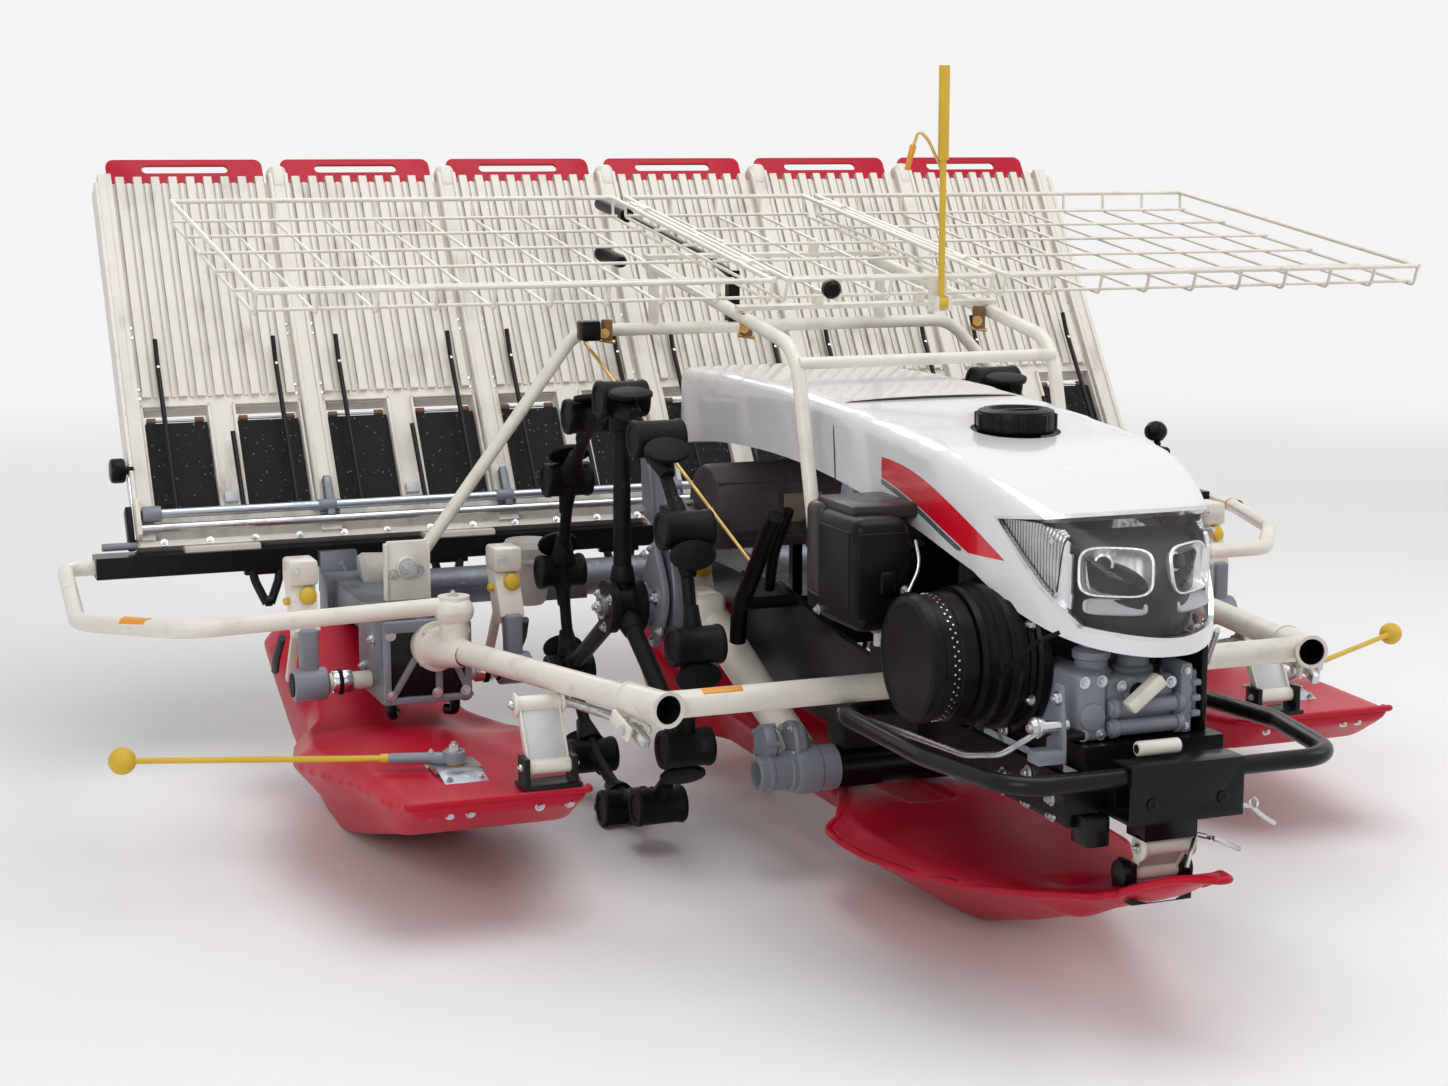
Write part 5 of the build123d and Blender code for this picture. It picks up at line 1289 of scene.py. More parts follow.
# -------------------- planting units
class MakePlanting(bpy.types.Operator):
    """Makes the planting cases with their ribs, the arms' caps and links, and the seedling forks"""

    bl_idname = "transplanter.planting"
    bl_label = "Planting units"

    def execute(self, context):
        eased("planting_cases", 0.004, "grey_casting")
        eased("planting_arms", 0.004, "ivory_paint")
        eased("rear_beam", 0.003, "grey_casting")
        self.frames()
        self.arms()
        self.forks()
        return {"FINISHED"}

    def frames(self):
        """The cast ribs and struts on the planting cases' faces, and the drive housings behind them."""
        detail = Form("slate_paint")
        x, face = -CASE_X, CASE_FACE_Y
        detail.use("black_steel")
        detail.box((x - 0.06, face - 0.002, 0.22), (x + 0.06, face + 0.002, 0.326), 0.001)
        detail.use("slate_paint")
        detail.box((x - 0.062, face - 0.01, 0.32), (x + 0.062, face + 0.002, 0.337), 0.003)
        detail.box((x - 0.062, face - 0.008, 0.218), (x + 0.062, face, 0.228), 0.002)
        for dx in (-0.058, 0.058, 0.016):
            detail.box((x + dx - 0.005, face - 0.009, 0.22), (x + dx + 0.005, face, 0.33), 0.002)
        for dx, lean in ((-0.022, 0.62), (0.038, -0.45)):
            strut = placed((x + dx, face - 0.004, 0.275), FRONT, (lean, 0, 1))
            detail.box((-0.0045, -0.058, -0.004), (0.0045, 0.058, 0.004), 0.0015, strut)
        detail.box((x - 0.064, -0.05, 0.334), (x - 0.01, -0.006, 0.352), 0.004)
        detail.box((x + 0.004, -0.048, 0.334), (x + 0.06, -0.012, 0.348), 0.004)
        detail.use("plated_steel")
        for dx, z in ((-0.053, 0.318), (-0.053, 0.232), (0.012, 0.232), (0.053, 0.232), (0.053, 0.318)):
            detail.bolt((x + dx, face - 0.008, z), FRONT, 0.0052)
        detail.bolt((x - 0.062, 0.0, 0.3), RIGHT, 0.006)
        detail.bolt((x - 0.062, 0.06, 0.25), RIGHT, 0.006)
        detail.use("black_steel")
        for dx in (-0.046, 0.046):
            detail.tube([(x + dx, -0.035, 0.218), (x + dx, -0.035, 0.196), (x + dx * 0.8, -0.02, 0.196)],
                        0.008, 8, 0.01)
        detail.mirrored()
        detail.finish("planting_case_ribs")
        drive = Form("pale_casting")
        drive.lathe(mm_pairs((0, 0), (24, 0), (31, 8), (35, 40), (40, 60), (43, 88), (43, 96), (36, 106),
                             (0, 110)), (-0.305, 0.428, 0.25), UP)
        drive.lathe(mm_pairs((44.5, 0), (44.5, 5), (40, 6), (40, -1), (44.5, 0)), (-0.305, 0.428, 0.322),
                    UP)
        drive.lathe(mm_pairs((0, 0), (34, 0), (38, 8), (30, 60), (24, 90), (0, 92)), (-0.59, 0.395, 0.318),
                    (1, -0.1, 0.12), 36)
        drive.use("plated_steel").bolt((-0.285, 0.388, 0.318), (0.3, -1, 0), 0.006)
        drive.mirrored()
        drive.finish("drive_housings")

    def arms(self):
        """The planting arms' yellow caps and covers, their links and their bent rods."""
        caps = Form("yellow_plastic")
        links = Form("slate_paint")
        foot = (0.022, 0.238)
        for case in (-CASE_X, 0.0, CASE_X):
            for side in (-1, 1):
                x = case + side * ARM_OFF
                caps.use("yellow_plastic")
                caps.lathe(mm_pairs((0, 0), (12, 0), (13, 3), (12, 9), (7, 12), (0, 12.5)),
                           (x + 0.004, 0.046, 0.36), (0.25, -0.9, 0.36), 24)
                caps.rod((x - 0.017, 0.06, 0.352), (x - 0.026, 0.058, 0.352), 0.0055, sides=14, edge=0.001)
                caps.use("ivory_paint")
                caps.box((x - 0.021, 0.04, 0.376), (x + 0.021, 0.092, 0.412), 0.005)
                caps.rod((x, 0.042, 0.33), (x, 0.034, 0.29), 0.013, 0.009, sides=16, edge=0.002)
                caps.use("plated_steel").bolt((x - 0.012, 0.04, 0.398), (0, -1, 0.2), 0.0042)
                links.use("slate_paint")
                links.box((x - 0.013, 0.012, 0.248), (x + 0.013, 0.036, 0.318), 0.005, segments=3)
                links.pin(x - 0.024, x + 0.024, foot, 0.0235, sides=32, edge=0.003)
                links.use("black_rubber").pin(x - 0.026, x + 0.026, foot, 0.017, sides=24)
                near = x - side * 0.032
                links.use("chrome_bar").pin(near, near - side * 0.028, foot, 0.0165, sides=24, edge=0.002)
                links.use("black_rubber")
                links.pin(near - side * 0.008, near - side * 0.014, foot, 0.0185, sides=24)
                links.use("dark_casting")
                links.tube([(x, 0.062, 0.35), (x, 0.11, 0.306), (x, 0.163, 0.224)], 0.0055, 10)
                links.tube([(x + side * 0.03, 0.06, 0.3), (x + side * 0.034, 0.09, 0.262),
                            (x + side * 0.03, 0.12, 0.24)], 0.006, 8)
        caps.finish("planting_arm_caps")
        links.finish("planting_links")

    def forks(self):
        """The forked seedling guides under the platform's lower edge, one for each row."""
        fork = Form("black_steel")
        for section in SECTIONS:
            x = section + 0.037
            for dx in (-0.022, 0.022):
                prong = [(x + dx, 0.534, 0.32), (x + dx * 0.9, 0.53, 0.3), (x + dx * 0.15, 0.52, 0.262)]
                fork.tube(prong, 0.0072, 10, 0.01)
            fork.pin(x - 0.006, x + 0.006, (0.52, 0.266), 0.009, sides=16, edge=0.002)
            fork.box((x - 0.035, 0.528, 0.308), (x + 0.035, 0.542, 0.318), 0.002)
        fork.finish("seedling_forks")


# -------------------- booms and guards
class MakeBooms(bpy.types.Operator):
    """Adds the clamps, flanges, pins and blank strips on the booms and guards"""

    bl_idname = "transplanter.booms"
    bl_label = "Booms and guards"

    def execute(self, context):
        tee = Vector(TEE)
        way = (tee - Vector(BOOM_END)).normalized()
        self.clamps(tee, way)
        bore = Form("black_rubber")
        bore.lathe(mm_pairs((0, -20), (17.1, -20), (17.1, 29.5), (16.6, 29.5), (16.6, -18), (0, -18)),
                   tee, way, 32)
        bore.mirrored()
        bore.finish("sleeve_linings")
        self.bands()
        return {"FINISHED"}

    def clamps(self, tee, way):
        """The rims of the sleeves, the flanges on the planting cases, the lugs and their pins."""
        fit = Form("ivory_paint")
        fit.lathe(mm_pairs((18.2, 0), (22.6, 0), (22.6, 5), (18.2, 5), (18.2, 0)), tee + way * 0.026, way, 32)
        fit.lathe(mm_pairs((17.3, 0), (22.4, 0), (22.4, 4), (17.3, 4), (17.3, 0)), tee - way * 0.06, way, 32)
        flange = Vector(BOOM_END) - Vector((0, 0.0125, 0))
        fit.lathe(mm_pairs((18, 0), (33, 0), (35.5, 2), (35.5, 8), (33, 9), (29, 10), (27, 30), (21, 70),
                           (17, 90), (18, 0)), flange, (0.22, -0.97, 0.03))
        lug = placed((-0.484, -0.598, 0.297), (1, 0.2, -0.1), (0, -0.9, -0.3))
        fit.box((-0.01, -0.024, -0.016), (0.01, 0.024, -0.01), 0.003, lug)
        fit.box((-0.01, -0.024, 0.01), (0.01, 0.024, 0.016), 0.003, lug)
        fit.use("plated_steel")
        fit.rod(lug @ Vector((0, 0.012, -0.021)), lug @ Vector((0, 0.012, 0.021)), 0.0062, sides=14)
        fit.box((-0.007, 0.002, -0.006), (0.007, 0.044, 0.006), 0.003, lug)
        fit.rod((-0.486, -0.556, 0.2935), (-0.492, -0.5, 0.2915), 0.0042, sides=12)
        for x, z in circle((flange.x, flange.z), 0.029, ring_angles(4, pi / 4)):
            fit.bolt((x, flange.y - 0.008, z), FRONT, 0.0046)
        fit.bolt((-0.142, -0.628, 0.352), UP, 0.006)
        fit.use("brass_rod").bolt((-0.15, -0.662, 0.318), (-0.3, -1, 0), 0.0085)
        fit.use("plated_steel").bolt((-0.138, -0.668, 0.3), (-0.3, -1, 0), 0.0065)
        fit.mirrored()
        fit.use("ivory_paint").box((-0.604, -0.15, 0.34), (-0.55, -0.096, 0.3785), 0.019, segments=4)
        fit.use("plated_steel")
        for x in (-0.5765, 0.5765):
            fit.bolt((x, -0.122, 0.3785), UP, 0.0055)
        fit.finish("boom_clamps")

    def bands(self):
        """The blank orange bands on the guards and the strip on the right boom."""
        bands = Form("orange_sticker")
        for start, along, last in (((-0.981, -0.064, 0.3533), (-0.615, 0.79, -0.04), 45),
                                   ((1.058, 0.44, 0.333), (0.05, 1, 0), 28)):
            bands.lathe(mm_pairs((12.1, 0), (12.4, 0.3), (12.4, last - 0.3), (12.1, last)), start, along, 24)
        strip = placed((-0.378, *TEE[1:]), (0, -0.42, 0.9), (0, 0.9, 0.42))
        bands.box((-0.026, -0.005, 0.016), (0.026, 0.005, 0.0176), 0.0004, strip)
        bands.finish("guard_bands")


# -------------------- seedling platform
class MakePlatform(bpy.types.Operator):
    """Makes the crimson plates, window frames, bars, rollers, brackets and rivets of the platform"""

    bl_idname = "transplanter.platform"
    bl_label = "Seedling platform"

    def execute(self, context):
        self.frames()
        self.fittings()
        self.plates()
        self.ends()
        return {"FINISHED"}

    def frames(self):
        """The window frames, the seams along the ribs and dividers, and the blank labels."""
        rim = Form("cream_plastic")
        for section in SECTIONS:
            for side in (-1, 1):
                turn = slope_matrix(section + side * BELT_OFF, WINDOW_DROP)
                for dx in (-0.0545, 0.0545):
                    rim.box((dx - 0.0022, -0.1, 0.0), (dx + 0.0022, 0.1, 0.0065), 0.0008, turn)
                rim.box((-0.057, 0.0955, 0.0), (0.057, 0.1, 0.0065), 0.0008, turn)
            for k in range(1, 9):
                turn = slope_matrix(section + RIB_PITCH * (k - 4.5), 0.032)
                rim.box((-0.0035, -0.4, 0.0), (0.0035, 0.012, 0.003), 0.0008, turn)
        for divider in DIVIDERS[1:-1]:
            turn = slope_matrix(divider, 0.012)
            for dx in (-0.013, 0.013):
                rim.box((dx - 0.003, -0.64, 0.0135), (dx + 0.003, 0.0, 0.0168), 0.0008, turn)
            rim.box((-0.0165, -0.04, -0.02), (0.0165, 0.01, 0.0165), 0.012, slope_matrix(divider, 0.0), 4)
        rim.use("pale_label")
        for section in SECTIONS:
            turn = slope_matrix(section - 0.003, 0.618)
            rim.box((-0.011, -0.009, 0.0), (0.011, 0.009, 0.008), 0.0015, turn)
        rim.finish("window_frames", body="platform")
        self.rivets()

    def rivets(self):
        """The rivets beside the dividers, and the ends and axles of the belts' upper rollers."""
        rivets = Form("plated_steel")
        out = slope_matrix(0, 0).col[2].to_3d()
        head = mm_pairs((0, 0), (3.4, 0), (2.8, 1.4), (0, 2.0))
        columns = [divider + dx for divider in DIVIDERS for dx in (-0.021, 0.021)]
        for x in columns[1:-1]:
            for drop in (0.3, 0.318, 0.415, 0.432):
                rivets.lathe(head, on_slope(x, drop), out, 8)
        for x in (section + side * BELT_OFF for section in SECTIONS for side in (-1, 1)):
            rivets.use("plated_steel")
            rivets.rod(on_slope(x - 0.048, *ROLLER), on_slope(x + 0.048, *ROLLER), 0.0022, sides=8)
            rivets.use("rusty_steel")
            for side in (-1, 1):
                ends = (on_slope(x + side * dx, *ROLLER) for dx in (0.046, 0.032))
                rivets.rod(*ends, 0.0055, sides=12)
        rivets.finish("platform_rivets", body="platform")

    def fittings(self):
        """The press bar with its brackets, the dots on its fingers and the bolts of the lower rail."""
        bar = Form("slate_paint")
        out = slope_matrix(0, 0).col[2].to_3d()
        for divider in DIVIDERS[1:-1]:
            turn = slope_matrix(divider, PRESS_BAR[0])
            bar.use("grey_casting").box((-0.006, -0.02, 0.01), (0.006, 0.052, 0.03), 0.002, turn)
            bar.box((-0.016, -0.012, 0.008), (0.016, 0.01, 0.018), 0.002, turn)
            bar.use("plated_steel").bolt(on_slope(divider, 0.612, 0.018), out, 0.0045)
            ends = (on_slope(divider + dx, *PRESS_BAR) for dx in (-0.02, 0.01))
            bar.use("slate_paint").rod(*ends, 0.0098, edge=0.001)
        ends = (on_slope(x, *PRESS_BAR) for x in (-0.902, -0.872))
        bar.rod(*ends, 0.013, sides=24, edge=0.002)
        bar.finish("press_bar_brackets", body="platform")
        dots = Form("chrome_bar")
        for x in (section + dx for section in SECTIONS for dx in (-0.097, 0.097)):
            dot = mm_pairs((0, 0), (2.4, 0), (2.4, 1.5), (0, 2.4))
            dots.lathe(dot, on_slope(x, 0.386, 0.0235), out, 8)
        dots.finish("finger_dots", body="platform")
        chrome = Form("steel_bar")
        chrome.rod(on_slope(-0.88, *PRESS_BAR), on_slope(0.88, *PRESS_BAR), 0.0076, sides=24)
        chrome.finish("press_bar", body="platform")
        low = Form("plated_steel")
        pitch = 0.0725
        for k in range(-12, 13):
            low.bolt(on_slope(k * pitch, 0.694, 0.0085), out, 0.0042)
        low.finish("lower_rail_bolts", body="platform")

    def plates(self):
        """The crimson extension plates: rounded blades behind the platform's upper edge, each with a slot."""
        blades = Form("crimson_plastic")
        slots = Form("crimson_plastic")
        half, top, foot, corner = 0.134, 0.047, -0.11, 0.014
        outline = []
        right, high, low = half - corner, top - corner, foot + corner
        for middle, start in (((right, high), 0.0), ((-right, high), pi / 2), ((-right, low), pi),
                              ((right, low), 1.5 * pi)):
            outline += circle(middle, corner, [start + k * pi / 10 for k in range(6)])
        slot = []
        for side in (1, -1):
            slot += circle((0.066 * side, 0.027), 0.008, [k * pi / 8 - side * pi / 2 for k in range(9)])
        for section in SECTIONS:
            blades.plate(outline, 0.006, slope_matrix(section, 0.0, -0.034), 0.0012)
            slots.plate(slot, 0.02, slope_matrix(section, 0.0, -0.041))
        cut = all_in("crimson_plastic", boolean(blades.mesh("blades"), slots.mesh("slots"), "DIFFERENCE"))
        keep("extension_blades", cut, "platform", "crimson_plastic", ("extension_plates",), 30.0)

    def ends(self):
        """The strips, knobs, levers and rail ends at both sides of the platform."""
        side = Form("plated_steel")
        edge = slope_matrix(0.0, 0.6, -0.004)
        side.box((0.9132, -0.09, 0.0), (0.916, 0.02, 0.022), 0.0008, edge)
        side.box((-0.916, -0.09, 0.0), (-0.9132, 0.02, 0.022), 0.0008, edge)
        side.use("black_plastic")
        knob = (0.565, 0.012)
        side.rod(on_slope(-0.918, *knob), on_slope(-0.942, *knob), 0.02, sides=28, edge=0.005)
        side.rod(on_slope(-0.905, *knob), on_slope(-0.925, *knob), 0.007, sides=16)
        side.box((-0.926, -0.04, -0.012), (-0.9135, 0.03, 0.012), 0.003, slope_matrix(0.0, 0.66, 0.004))
        side.use("slate_paint")
        rail = (0.5475, 0.364)
        side.pin(-0.968, -0.913, rail, 0.0062, sides=18, edge=0.001)
        side.pin(0.913, 0.975, rail, 0.0062, sides=18, edge=0.001)
        side.pin(0.913, 0.948, (0.545, 0.412), 0.009, edge=0.002)
        side.use("black_plastic")
        side.lathe(mm_pairs((0, -20), (11, -18), (18, -10), (20, 0), (18, 10), (11, 18), (0, 20)),
                   (0.94, 0.54, 0.466), LEFT, 28)
        side.rod((0.93, 0.534, 0.43), (0.962, 0.534, 0.424), 0.0125, sides=24, edge=0.003)
        side.tube([(0.938, 0.54, 0.462), (0.946, 0.54, 0.436), (0.946, 0.54, 0.405)], 0.007, 12)
        side.tube([(0.925, 0.545, 0.395), (0.945, 0.545, 0.392)], 0.012, 16)
        side.box((0.9135, 0.52, 0.395), (0.922, 0.56, 0.45), 0.003)
        side.use("brass_rod").box((0.922, 0.523, 0.418), (0.9265, 0.556, 0.452), 0.0015)
        side.use("plated_steel").bolt((0.9265, 0.536, 0.44), LEFT, 0.0055)
        side.finish("platform_end_fittings", body="platform")
        eased("platform_sides", 0.002, "ivory_paint", body="platform")


# -------------------- nose
class MakeNose(bpy.types.Operator):
    """Makes the front gear block, nose plate, levers, rods and links at the nose"""

    bl_idname = "transplanter.nose"
    bl_label = "Nose"

    def execute(self, context):
        eased("nose_plate", 0.0016, "black_steel")
        eased("nose_upright", 0.002, "black_steel")
        self.gear()
        self.crank()
        self.fittings()
        return {"FINISHED"}

    def gear(self):
        """The front gear block: three castings side by side with round covers, pipes and bolts."""
        gear = Form("slate_paint")
        gear.box((-0.09, -0.992, 0.331), (-0.052, -0.884, 0.408), 0.006, segments=3)
        gear.box((-0.05, -0.984, 0.333), (0.04, -0.884, 0.4), 0.006, segments=3)
        gear.box((0.042, -0.994, 0.331), (0.058, -0.884, 0.412), 0.004, segments=2)
        gear.box((0.058, -0.984, 0.345), (0.07, -0.89, 0.402), 0.003)
        for x in (-0.048, 0.006):
            gear.lathe(mm_pairs((0, 0), (23, 0), (24, 3), (24, 8), (19, 11), (19, 20), (22, 22), (22, 30),
                                (17, 34), (14, 34), (14, 38), (0, 38)), (x, -0.946, 0.396), UP, 36)
        for z in (0.3435, 0.3665):
            gear.pin(-0.05, 0.046, (-0.988, z), 0.0095, sides=24, edge=0.002)
            for x in (-0.046, 0.038):
                gear.pin(x, x + 0.008, (-0.988, z), 0.0118, sides=24, edge=0.001)
        gear.rod((-0.02, -0.99, 0.388), (-0.02, -0.97, 0.388), 0.013, sides=28, edge=0.002)
        gear.rod((-0.072, -0.996, 0.36), (-0.072, -0.984, 0.36), 0.016, sides=28, edge=0.002)
        for z in (0.35, 0.368, 0.386):
            gear.box((0.056, -0.9975, z), (0.067, -0.985, z + 0.007), 0.0015)
        gear.use("plated_steel")
        for x, z in ((-0.082, 0.4), (-0.06, 0.4), (-0.082, 0.339), (-0.06, 0.339), (0.049, 0.404),
                     (0.049, 0.34), (-0.034, 0.392), (0.03, 0.392)):
            gear.bolt((x, -0.9915, z), FRONT, 0.0048)
        gear.use("black_rubber")
        gear.rod((-0.012, -0.985, 0.384), (-0.012, -1.004, 0.384), 0.0105, edge=0.002)
        gear.finish("front_gear_block", replaces=("front_gearbox",))

    def fittings(self):
        """The small cream grip, the bent wires and the brackets and bolts round the nose."""
        bits = Form("ivory_paint")
        grip = placed((-0.016, -1.012, 0.387), (0.66, -0.05, 0.55), FRONT)
        bits.box((-0.008, -0.009, -0.026), (0.008, 0.009, 0.026), 0.004, grip, 3)
        bumper = (-1.05, 0.3345)
        bits.pin(-0.048, 0.006, bumper, 0.0085, sides=24, edge=0.002)
        bits.use("black_steel")
        bits.tube([(0.004, -1.004, 0.404), (0.016, -0.985, 0.42), (0.016, -0.955, 0.425)], 0.005, 10)
        bits.use("black_rubber").pin(-0.0484, -0.0478, bumper, 0.0052, sides=16)
        for x in (-0.045, 0.045):
            bits.use("black_steel")
            bits.rod((x, -1.0815, 0.279), (x, -1.084, 0.279), 0.007, sides=24, edge=0.001)
            bits.use("black_rubber")
            bits.rod((x, -1.0838, 0.279), (x, -1.0845, 0.279), 0.0036, sides=6)
        bits.use("plated_steel")
        bits.tube([(0.074, -1.058, 0.262), (0.096, -1.064, 0.258), (0.106, -1.066, 0.248),
                   (0.124, -1.068, 0.236)], 0.0026, 8)
        bits.lathe(mm_pairs((6, -1.3), (7.4, 0), (6, 1.3), (4.6, 0), (6, -1.3)), (0.098, -1.064, 0.262),
                   (0.2, -1, 0.3), 16)
        bits.tube([(0.036, -1.04, 0.226), (0.06, -1.052, 0.22), (0.084, -1.06, 0.208)], 0.003, 8)
        bits.tube([(0.036, -1.044, 0.226), (0.02, -1.06, 0.214), (0.01, -1.068, 0.197)], 0.0026, 8)
        bits.use("black_steel")
        bits.rod((-0.06, -0.99, 0.244), (-0.06, -0.9, 0.232), 0.0085, sides=16)
        bits.box((-0.1, -0.99, 0.232), (-0.084, -0.74, 0.25), 0.003)
        bits.box((-0.09, -1.02, 0.215), (-0.06, -0.98, 0.252), 0.004)
        bits.use("plated_steel")
        for y in (-0.96, -0.9, -0.84, -0.78):
            bits.bolt((-0.1005, y, 0.241), RIGHT, 0.006)
        for y, z in ((-0.985, 0.268), (-0.93, 0.285), (-0.87, 0.268)):
            bits.bolt((-0.1165, y, z), RIGHT, 0.006)
        bits.finish("nose_fittings", slot="plated_steel")

    def crank(self):
        """The bell crank beside the gear block, where the long control rod ends."""
        crank = Form("slate_paint")
        outline = mm_pairs((-1010, 314), (-972, 314), (-972, 336), (-984, 342), (-990, 402), (-1002, 402),
                           (-1010, 342))
        crank.plate(outline, 0.005, side_view(-0.118), 0.001)
        crank.box((-0.15, -1.012, 0.314), (-0.114, -0.985, 0.33), 0.003)
        crank.use("plated_steel").bolt((-0.118, -0.997, 0.386), RIGHT, 0.006)
        crank.pin(-0.145, -0.108, (-1.000, 0.356), 0.007, sides=18)
        crank.bolt((-0.145, -1.000, 0.356), RIGHT, 0.0085)
        crank.use("black_steel").box((-0.112, -1.002, 0.336), (-0.084, -0.96, 0.346), 0.003)
        crank.finish("bell_crank")


# -------------------- linkage
def channel_link(form, x, top, foot, half):
    """A cream link: a pressed channel between two cross tubes, with lobed ends on the upper one."""
    upper, lower = Vector((x, *top)), Vector((x, *foot))
    turn = placed((upper + lower) / 2, upper - lower, FRONT)
    long = (upper - lower).length / 2
    form.use("pale_label").box((-half + 0.003, -0.0022, -long), (half - 0.003, 0.0022, long), 0.0008, turn)
    form.use("ivory_paint")
    for side in (-1, 1):
        edge = side * (half - 0.0015)
        form.box((edge - 0.0015, -0.0065, -long), (edge + 0.0015, 0.0065, long), 0.001, turn)
        out = x + side * (half + 0.001)
        form.pin(out, out + side * 0.004, top, 0.0155, sides=24, edge=0.001)
        form.pin(out, out + side * 0.004, foot, 0.012, sides=24, edge=0.001)
    form.pin(x - half, x + half, top, 0.0105, sides=24)
    form.pin(x - half, x + half, foot, 0.01, sides=24)
    form.use("plated_steel")
    for place in (top, foot):
        for side in (-1, 1):
            form.bolt((x + side * (half + 0.005), *place), (side, 0, 0), 0.0052)


class MakeLinkage(bpy.types.Operator):
    """Makes the long control rods, the float links and the side lever"""

    bl_idname = "transplanter.linkage"
    bl_label = "Linkage"

    def execute(self, context):
        self.rods()
        self.lever()
        links = Form("ivory_paint")
        channel_link(links, -LINK_X, LINK_TOP, LINK_FOOT, 0.028)
        channel_link(links, LINK_X, LINK_TOP, LINK_FOOT, 0.028)
        channel_link(links, 0.0, NOSE_LINK_TOP, NOSE_LINK_FOOT, 0.029)
        links.finish("link_channels", replaces=("float_links",))
        ears = Form("black_steel")
        for side in (-1, 1):
            ears.pin(side * 0.031, side * 0.045, NOSE_LINK_FOOT, 0.0165, sides=28, edge=0.002)
        ears.finish("nose_link_ears")
        eased("float_brackets", 0.0014, "black_steel")
        return {"FINISHED"}

    def rods(self):
        """The long control rods, with one cased in rubber and one of brass."""
        rods = Form("plated_steel")
        rods.tube([(-0.17, -0.52, 0.271), (-0.175, -0.887, 0.3), (-0.168, -0.96, 0.318),
                   (-0.146, -1.004, 0.352)], 0.004, 12, 0.012)
        rods.pin(-0.15, -0.136, (-0.996, 0.356), 0.0105, edge=0.002)
        rods.use("black_rubber")
        rods.tube([(-0.12, -1.000, 0.462), (-0.14, -0.985, 0.45), (-0.15, -0.915, 0.395),
                   (-0.158, -0.88, 0.345), (-0.168, -0.862, 0.304)], 0.0026, 10, 0.05)
        rods.use("brass_rod").rod((-0.3, 0.132, 0.7), (-0.2, -0.282, 0.43), 0.0026, sides=12)
        rods.use("plated_steel")
        rods.tube([(0.11, -0.96, 0.44), (0.2, -0.8, 0.36), (0.43, -0.45, 0.3),
                   (0.512, -0.404, 0.291)], 0.0036, 10)
        rods.finish("control_rods")

    def lever(self):
        """The curved side lever and the cross pin that it turns on."""
        lever = Form("black_plastic")
        lever.tube([(-0.188, -0.345, 0.5), (-0.19, -0.318, 0.47), (-0.19, -0.262, 0.4),
                    (-0.188, -0.212, 0.352), (-0.184, -0.196, 0.3)], 0.012, 14, 0.06)
        lever.tube([(-0.15, -0.3, 0.5), (-0.16, -0.27, 0.44), (-0.15, -0.23, 0.38)],
                   0.008, 12, 0.05)
        lever.pin(-0.192, -0.116, (-0.24, 0.362), 0.009, sides=18)
        lever.finish("side_lever_curved", replaces=("side_lever",))


# -------------------- racks
class MakeRacks(bpy.types.Operator):
    """Adds the clamps, knobs and bolts that hold the seedling racks"""

    bl_idname = "transplanter.racks"
    bl_label = "Seedling racks"

    def execute(self, context):
        foot = Form("ivory_paint")
        foot.box((-0.631, 0.0425, 0.34), (-0.569, 0.0485, 0.432), 0.003)
        foot.box((-0.633, 0.038, 0.34), (-0.629, 0.0545, 0.428), 0.0015)
        foot.box((-0.571, 0.038, 0.34), (-0.567, 0.0545, 0.428), 0.0015)
        foot.rod((-0.602, 0.043, 0.394), (-0.602, 0.033, 0.394), 0.0155, sides=28, edge=0.002)
        foot.use("plated_steel").bolt((-0.602, 0.034, 0.394), FRONT, 0.0098)
        foot.bolt((-0.62, 0.0425, 0.384), FRONT, 0.0055)
        foot.bolt((-0.583, 0.0425, 0.388), FRONT, 0.0055)
        foot.mirrored()
        foot.finish("rack_frame_feet")
        clamp = Form("rusty_steel")
        for x, y, z in ((-0.188, -0.236, 0.752), (0.168, -0.236, 0.752), (-0.276, 0.1, 0.722)):
            clamp.use("rusty_steel")
            clamp.box((x - 0.007, y - 0.008, z - 0.018), (x + 0.007, y + 0.008, z + 0.014), 0.002)
            clamp.use("brass_rod").bolt((x - 0.006, y - 0.008, z - 0.006), FRONT, 0.005)
            clamp.rod((x - 0.012, y, z - 0.016), (x + 0.012, y, z - 0.02), 0.003, sides=10)
        clamp.finish("rack_clamps")
        knob = Form("black_plastic")
        knob.lathe(mm_pairs((0, 0), (5, 0), (5, 8), (11, 10), (13, 14), (13, 22), (9, 27), (0, 28)),
                   (-0.108, -0.3245, 0.806), (0, -1, -0.2), 24)
        knob.box((-0.318, 0.088, 0.705), (-0.288, 0.118, 0.735), 0.004)
        knob.finish("rack_knob")
        return {"FINISHED"}


